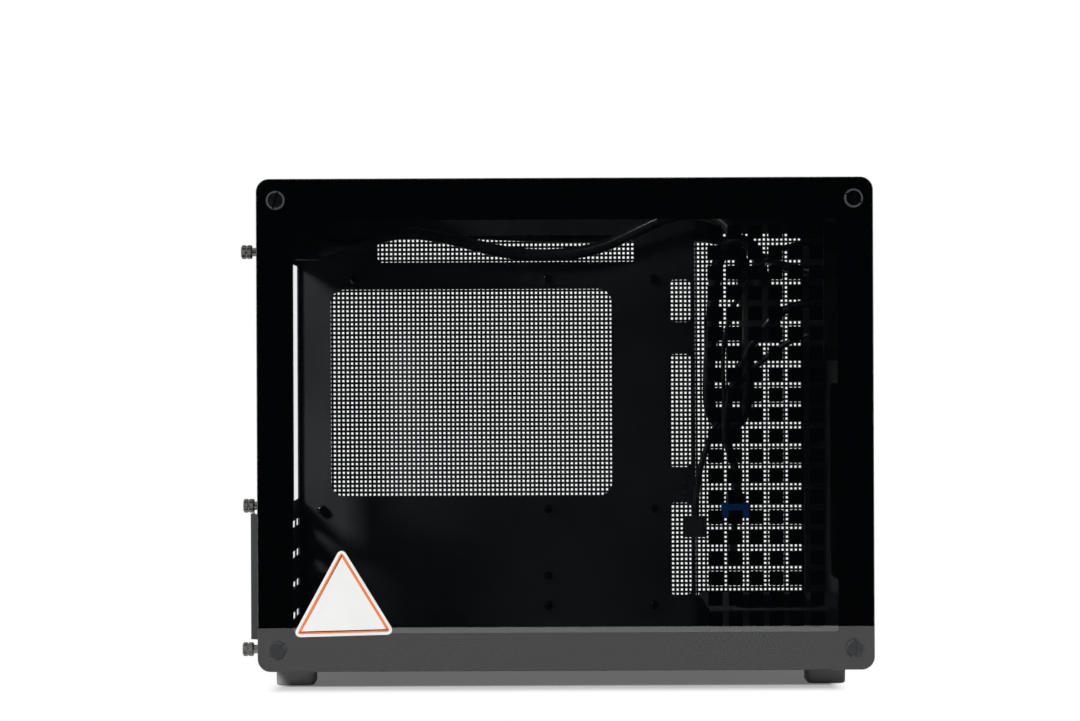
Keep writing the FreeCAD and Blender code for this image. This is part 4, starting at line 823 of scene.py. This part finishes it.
class CASE_OT_window_print(Operator):
    """Lay the border and squares of ink on the back of the glass, out to its edge"""
    bl_idname = "case.window_print"
    bl_label = "Window Print"

    def execute(self, context):
        bm = merged_copy("glass_print")
        low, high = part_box("glass_print")
        for vert in bm.verts:
            core_x = min(max(vert.co.x, low.x + PRINT_CORNER), high.x - PRINT_CORNER)
            core_z = min(max(vert.co.z, low.z + PRINT_CORNER), high.z - PRINT_CORNER)
            out = Vector((vert.co.x - core_x, 0.0, vert.co.z - core_z))
            if out.length > PRINT_CORNER - PRINT_SLACK:
                vert.co += out.normalized() * PRINT_SPREAD
        bmesh.ops.translate(bm, verts=bm.verts, vec=(0.0, -PRINT_DEPTH, 0.0))
        ink = new_piece("window_print", bm, ["ink"])
        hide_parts("glass_print")
        return {"FINISHED"}


# What lies this near to the greatest radius of a turned piece is on its rim, in millimetres
RIM_SLACK = 0.05
TURNED_SMOOTH = math.radians(25)


def thumbscrew_shape(sizes):
    """A knurled thumbscrew: its face at the origin, its shank along Z."""
    head = 4.5
    profile = (
        (0.0, 0.9), (1.1, 0.9), (1.5, 0.15), (3.5, 0.0), (head, 0.7), (head, 2.9), (4.1, 3.1),
        (4.1, 3.9), (head, 4.1), (head, 6.3), (3.9, 7.0), (2.8, 7.0), (2.8, 12.2), (1.7, 12.2),
        (1.7, 18.2), (0.0, 18.2),
    )
    bm = turned(profile, 2 * sizes.knurl_ridges)
    for vert in bm.verts:
        radius = math.hypot(vert.co.x, vert.co.y)
        if radius > (head - RIM_SLACK) * MM:
            turn = round(math.atan2(vert.co.y, vert.co.x) / math.pi * sizes.knurl_ridges)
            if turn % 2:
                share = (radius - sizes.knurl_depth) / radius
                vert.co.x *= share
                vert.co.y *= share
    return bm


class CASE_OT_thumbscrews(Operator):
    """Turn the knurled thumbscrews of the rear"""
    bl_idname = "case.thumbscrews"
    bl_label = "Thumbscrews"

    def execute(self, context):
        inwards = Matrix.Rotation(QUARTER_TURN, 4, "Y")
        for node in ("side_frame_thumbscrews", "mesh_panel_thumbscrews", "slot_guard_thumbscrew"):
            places = []
            for low, high in islands(node):
                middle = (low + high) / 2
                places.append(Matrix.Translation((low.x, middle.y, middle.z)) @ inwards)
            bm = repeated(thumbscrew_shape(context.scene.case_sizes), places)
            piece = new_piece(
                node.replace("thumbscrew", "knurled_screw"), bm, ["knurled"],
                smooth=TURNED_SMOOTH,
            )
            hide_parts(node)
        return {"FINISHED"}


class CASE_OT_standoffs(Operator):
    """Turn the chamfered hexagonal standoffs of the board"""
    bl_idname = "case.standoffs"
    bl_label = "Standoffs"

    def execute(self, context):
        apothem, sixth = 2.75, math.radians(60)
        profile = (
            (0.0, 0.0), (apothem, 0.0), (apothem, 5.55), (2.6, 5.95), (2.3, 6.28), (1.95, 6.45),
            (1.6, 6.5), (1.3, 6.2), (1.3, 1.0), (0.0, 1.0),
        )
        bm = turned(profile, 36)
        for vert in bm.verts:
            if math.hypot(vert.co.x, vert.co.y) > (apothem - RIM_SLACK) * MM:
                turn = math.atan2(vert.co.y, vert.co.x) % sixth - sixth / 2
                vert.co.x /= math.cos(turn)
                vert.co.y /= math.cos(turn)
        to_glass = Matrix.Rotation(QUARTER_TURN, 4, "X")
        places = []
        for low, high in islands("standoffs"):
            middle = (low + high) / 2
            places.append(Matrix.Translation((middle.x, high.y, middle.z)) @ to_glass)
        posts = new_piece(
            "board_standoffs", repeated(bm, places), ["nickel"], smooth=TURNED_SMOOTH
        )
        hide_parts("standoffs")
        return {"FINISHED"}


STICKER_SIDE = 66.0 * MM
STICKER_CORNER = 3.5 * MM
STICKER_LEAN = math.radians(1.4)


class CASE_OT_sticker(Operator):
    """Cut the blank three-cornered sticker with its coloured line"""
    bl_idname = "case.sticker"
    bl_label = "Sticker"

    def execute(self, context):
        sizes = context.scene.case_sizes
        low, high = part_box("glass_sticker")
        bm = bmesh.new()
        bmesh.ops.create_circle(bm, cap_ends=True, segments=3, radius=STICKER_SIDE / math.sqrt(3))
        apex = max(bm.verts, key=lambda vert: vert.co.y)
        turn = QUARTER_TURN - math.atan2(apex.co.y, apex.co.x)
        bmesh.ops.rotate(bm, verts=bm.verts, cent=(0, 0, 0), matrix=Matrix.Rotation(turn, 3, "Z"))
        bmesh.ops.bevel(
            bm, geom=bm.verts[:], offset=STICKER_CORNER * math.sqrt(3), offset_type="OFFSET", segments=10,
            profile=0.5, affect="VERTICES", material=-1,
        )
        bm.faces.ensure_lookup_table()
        face = bm.faces[0]
        for thickness, slot in ((sizes.film_rim, 0), (sizes.film_line, 1)):
            ring = bmesh.ops.inset_region(
                bm, faces=[face], thickness=thickness, use_even_offset=True, use_boundary=True
            )
            for part in ring["faces"]:
                part.material_index = slot
        thicken(bm, high.y - low.y)
        middle_x, rise = (low.x + high.x) / 2, STICKER_SIDE / math.sqrt(12)
        place = Matrix.Translation((middle_x, high.y, low.z + rise))
        place = place @ Matrix.Rotation(-STICKER_LEAN, 4, "Y") @ Matrix.Rotation(QUARTER_TURN, 4, "X")
        bmesh.ops.transform(bm, matrix=place, verts=bm.verts)
        sticker = new_piece("sticker", bm, ["film", "line"])
        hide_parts("glass_sticker")
        return {"FINISHED"}


# The gauze ends this far inside the filter, and sags between the bars in this many half waves
GAUZE_BORDER = 6.0 * MM
GAUZE_SAG = 0.125 * MM
GAUZE_CELLS = (54, 36)
GAUZE_WAVES = (18, 12)


class CASE_OT_gauze(Operator):
    """Stretch the gauze over the bars of the dust filter"""
    bl_idname = "case.gauze"
    bl_label = "Filter Gauze"

    def execute(self, context):
        low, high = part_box("dust_filter")
        middle = (low + high) / 2
        size_x, size_y = high.x - low.x - 2 * GAUZE_BORDER, high.y - low.y - 2 * GAUZE_BORDER
        bm = bmesh.new()
        bmesh.ops.create_grid(bm, x_segments=GAUZE_CELLS[0], y_segments=GAUZE_CELLS[1], size=0.5)
        for vert in bm.verts:
            x, y = vert.co.x, vert.co.y
            wave = math.sin(x * GAUZE_WAVES[0] * math.pi) * math.sin(y * GAUZE_WAVES[1] * math.pi)
            vert.co = (middle.x + x * size_x, middle.y + y * size_y, middle.z + GAUZE_SAG * wave)
        new_piece("filter_gauze", bm, ["gauze"], body="filter")
        return {"FINISHED"}


FITTING_SMOOTH = math.radians(30)


def split_finish(name, node, finishes, picks):
    """A node in two finishes: the second goes to the faces whose middle the pick accepts."""
    bm = merged_copy(node)
    for face in bm.faces:
        if picks(face.calc_center_median()):
            face.material_index = 1
    piece = new_piece(name, bm, finishes, smooth=FITTING_SMOOTH)
    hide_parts(node)


# Ports, in millimetres: how thick each shell is, how deep the tongue's plastic starts, and the
# contacts on the tongue of a wide port. The header connector is blue up to the foot of its grip.
SHELL_RIMS = {"usb_port_1": 0.55, "usb_port_2": 0.55, "usb_c_port": 0.9}
WIDE_PORTS = ("usb_port_1", "usb_port_2")
TONGUE_START = 1.5
CONTACT_COUNT = 4
CONTACT_PITCH = 2.4
CONTACT_SIZE = (7.0, 0.16, 1.1)
CONTACT_INSET = 6.0
CONTACT_RISE = 3.15
GRIP_FOOT = 9.6


class CASE_OT_port_fittings(Operator):
    """Give the ports their tongues and contacts, and the header connector its grip"""
    bl_idname = "case.port_fittings"
    bl_label = "Port Fittings"

    def execute(self, context):
        contacts = []
        for node, rim in SHELL_RIMS.items():
            low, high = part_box(node)

            def in_shell(at, low=low, high=high, rim=rim * MM):
                inside_y = low.y + rim < at.y < high.y - rim
                inside_z = low.z + rim < at.z < high.z - rim
                return inside_y and inside_z and at.x > low.x + TONGUE_START * MM

            split_finish(node.replace("port", "socket"), node, ["bright", "tongue"],
                         in_shell)
            if node in WIDE_PORTS:
                for i in range(CONTACT_COUNT):
                    z = (low.z + high.z) / 2 + (i - (CONTACT_COUNT - 1) / 2) * CONTACT_PITCH * MM
                    contacts.append((high.x - CONTACT_INSET * MM, low.y + CONTACT_RISE * MM, z))
        bm = bmesh.new()
        for place in contacts:
            made = bmesh.ops.create_cube(bm, size=1.0)["verts"]
            bmesh.ops.scale(bm, vec=[length * MM for length in CONTACT_SIZE], verts=made)
            bmesh.ops.translate(bm, vec=place, verts=made)
        new_piece("port_contacts", bm, ["brass"])
        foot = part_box("usb_connector")[0].z + GRIP_FOOT * MM
        split_finish("header_plug", "usb_connector", ["blue", "plastic"],
                     lambda at: at.z > foot)
        return {"FINISHED"}


# A path with more bounces than this has come out of the case through the glass. It gets this much
# less of the table's light, so that the inside stays as dark as in the photo.
INSIDE_DEPTH = 3.5
INSIDE_LOSS = 0.93
# Where the table goes over to plain white, in metres from the case's outline. To the sides the
# outline is taken further in, and the way out counts for more.
WHITE_START, WHITE_END = -0.008, 0.028
SIDE_INSET = 0.028
SIDE_HASTE = 2.5
TABLE_SIZE = (6.0, 4.0)
TABLE_LOW, TABLE_HIGH = (0.86, 0.86, 0.85, 1.0), (0.9, 0.9, 0.89, 1.0)
WHITE, BLACK = (1.0, 1.0, 1.0, 1.0), (0.0, 0.0, 0.0, 1.0)


def way_out(net, ways):
    """Distance of a point of the table from the case's outline."""
    middle, half = (cad_low + cad_high) / 2, (cad_high - cad_low) / 2
    squares = []
    for way, centre, reach, haste in (
        ("X", middle.x, half.x - SIDE_INSET, SIDE_HASTE), ("Y", middle.y, half.y, 1.0),
    ):
        off = net.math("ABSOLUTE", net.math("SUBTRACT", ways[way], centre))
        outside = net.math("MULTIPLY", net.math("MAXIMUM", net.math("SUBTRACT", off, reach), 0.0), haste)
        squares.append(net.math("MULTIPLY", outside, outside))
    return net.math("SQRT", net.math("ADD", *squares))


def table_finish():
    """White table that keeps the shadow near the case, and goes to plain white further out."""
    finish, net, shader, output = new_finish("white table")
    grain = Effects.node(net, "grain", grain_scale=300.0, cloud_scale=3.0)
    net.feed(shader["Base Color"], net.blend(grain["Cloud"], TABLE_LOW, TABLE_HIGH))
    shader["Roughness"].default_value = 0.8
    shader["Specular IOR Level"].default_value = 0.2
    place = net.add("ShaderNodeTexCoord").outputs["Object"]
    ways = net.add("ShaderNodeSeparateXYZ", {"Vector": place}).outputs
    far = net.span(way_out(net, ways), WHITE_START, WHITE_END, interpolation_type="SMOOTHSTEP")

    rays = net.add("ShaderNodeLightPath").outputs
    mirrored = net.math("MAXIMUM", rays["Is Glossy Ray"], rays["Is Transmission Ray"])
    behind = net.math("GREATER_THAN", ways["Y"], 0.0)
    direct = net.math("MAXIMUM", net.math("LESS_THAN", rays["Ray Depth"], INSIDE_DEPTH), behind)
    seen = net.math("MAXIMUM", rays["Is Camera Ray"], net.math("MULTIPLY", mirrored, direct))
    plain = net.add("ShaderNodeEmission", {"Color": WHITE, "Strength": 1.0}).outputs["Emission"]
    solid = output["Surface"].links[0].from_socket
    lit = net.mix(net.math("MULTIPLY", far, seen), solid, plain)

    lost = net.math("MULTIPLY", net.math("SUBTRACT", 1.0, direct), INSIDE_LOSS)
    dark = net.add("ShaderNodeBsdfDiffuse", {"Color": BLACK}).outputs["BSDF"]
    from_below = net.add("ShaderNodeNewGeometry").outputs["Backfacing"]
    clear = net.add("ShaderNodeBsdfTransparent").outputs["BSDF"]
    net.feed(output["Surface"], net.mix(from_below, net.mix(lost, lit, dark), clear))
    return finish


def lay_table(scene, settings):
    """The table, from its front edge back."""
    front = GLASS_LOW.y - settings.table_front
    bm = bmesh.new()
    bmesh.ops.create_grid(bm, x_segments=8, y_segments=8, size=0.5)
    for vert in bm.verts:
        vert.co = (vert.co.x * TABLE_SIZE[0], front + (vert.co.y + 0.5) * TABLE_SIZE[1], 0.0)
    mesh = bpy.data.meshes.new("table")
    bm.to_mesh(mesh)
    bm.free()
    mesh.materials.append(table_finish())
    table = bpy.data.objects.new("table", mesh)
    scene.collection.objects.link(table)


# The room: dark in front up to the first Y of a direction, white from the second on
ROOM_DARK, ROOM_WHITE = -0.62, -0.30
ROOM_TINT = (0.8, 1.0, 1.25)


def light_room(scene, settings):
    """A white backdrop and a dark room in front, that looks white wherever the camera sees it."""
    world = bpy.data.worlds.new("studio")
    scene.world = world
    world.use_nodes = True
    world.node_tree.nodes.clear()
    net = Net(world.node_tree)
    place = net.add("ShaderNodeTexCoord").outputs["Generated"]
    way = net.add("ShaderNodeSeparateXYZ", {"Vector": place}).outputs["Y"]
    backdrop = net.span(way, ROOM_DARK, ROOM_WHITE, interpolation_type="SMOOTHSTEP")
    dark = (*(settings.sky_dark * tint for tint in ROOM_TINT), 1.0)
    rays = net.add("ShaderNodeLightPath").outputs
    deep = net.math("GREATER_THAN", rays["Ray Depth"], INSIDE_DEPTH)
    spent = net.math("MAXIMUM", rays["Is Diffuse Ray"], deep)
    soft = net.math("SUBTRACT", 1.0, net.math("MULTIPLY", spent, 1.0 - settings.sky_share))
    room = net.blend(soft, BLACK, net.blend(backdrop, dark, WHITE))
    seen = net.blend(rays["Is Camera Ray"], room, WHITE)
    sky = net.add("ShaderNodeBackground", {"Color": seen, "Strength": 1.0})
    net.add("ShaderNodeOutputWorld", {"Surface": sky.outputs["Background"]})


# The key lamp shines into the case through the port opening
KEY_SIZE, KEY_PLACE = 0.40, (-1.23, -1.31, 1.035)
FILL_SIZE, FILL_PLACE = 0.6, (-0.75, -1.9, 1.35)


def hang_lamps(scene, settings):
    """Two square lamps that face the middle of the case."""
    middle = (cad_low + cad_high) / 2
    for name, size, power, place in (
        ("key", KEY_SIZE, settings.key_power, KEY_PLACE),
        ("fill", FILL_SIZE, settings.fill_power, FILL_PLACE),
    ):
        lamp = bpy.data.lights.new(name, "AREA")
        lamp.shape, lamp.size, lamp.energy = "SQUARE", size, power
        stand = bpy.data.objects.new(name, lamp)
        stand.location = place
        stand.rotation_mode = "QUATERNION"
        stand.rotation_quaternion = (middle - stand.location).to_track_quat("-Z", "Y")
        scene.collection.objects.link(stand)


SENSOR_WIDTH = 36.0
CLIP_START, CLIP_END = 0.01, 50.0


def set_camera(scene, settings):
    """A level camera that faces the glass."""
    data = bpy.data.cameras.new("camera")
    data.lens, data.sensor_width = settings.lens, SENSOR_WIDTH
    data.clip_start, data.clip_end = CLIP_START, CLIP_END
    camera = bpy.data.objects.new("camera", data)
    camera.rotation_mode = "QUATERNION"
    level = Matrix.Rotation(QUARTER_TURN, 3, "X") @ Matrix.Rotation(settings.camera_roll, 3, "Z")
    camera.rotation_quaternion = level.to_quaternion()
    camera.location = (settings.camera_x, settings.camera_y, settings.camera_z)
    scene.collection.objects.link(camera)
    scene.camera = camera


class CASE_OT_studio(Operator):
    """Set the white table, the room, the lamps and the camera"""
    bl_idname = "case.studio"
    bl_label = "Studio"

    def execute(self, context):
        scene = context.scene
        for step in (lay_table, light_room, hang_lamps, set_camera):
            step(scene, scene.case_studio)
        scene.cycles.caustics_refractive = False
        scene.view_settings.view_transform = "Standard"
        return {"FINISHED"}


OPERATORS = (
    CASE_OT_studio, CASE_OT_port_fittings, CASE_OT_leads, CASE_OT_finish_solids, CASE_OT_perforated_side,
    CASE_OT_window_print, CASE_OT_thumbscrews, CASE_OT_standoffs, CASE_OT_sticker, CASE_OT_gauze,
)


class CASE_PT_sidebar(Panel):
    """Sizes, colours and steps of the computer case"""
    bl_idname = "CASE_PT_sidebar"
    bl_label = "Computer Case"
    bl_space_type = "VIEW_3D"
    bl_region_type = "UI"
    bl_category = "Case"

    def draw(self, context):
        scene = context.scene
        for heading, settings in (
            ("Sizes", scene.case_sizes), ("Colours", scene.case_colours), ("Studio", scene.case_studio),
        ):
            box = self.layout.box()
            box.label(text=heading)
            for name in settings.__annotations__:
                box.prop(settings, name)
        steps = self.layout.column(align=True)
        for operator in OPERATORS:
            steps.operator(operator.bl_idname)


CLASSES = (CaseSizes, CaseColours, StudioSettings, *OPERATORS, CASE_PT_sidebar)


def register():
    for cls in CLASSES:
        bpy.utils.register_class(cls)
    bpy.types.Scene.case_sizes = PointerProperty(type=CaseSizes)
    bpy.types.Scene.case_colours = PointerProperty(type=CaseColours)
    bpy.types.Scene.case_studio = PointerProperty(type=StudioSettings)


def unregister():
    del bpy.types.Scene.case_studio
    del bpy.types.Scene.case_colours
    del bpy.types.Scene.case_sizes
    for cls in reversed(CLASSES):
        bpy.utils.unregister_class(cls)


def main():
    register()
    for operator in OPERATORS:
        group, name = operator.bl_idname.split(".")
        getattr(getattr(bpy.ops, group), name)()


if __name__ == "__main__":
    main()
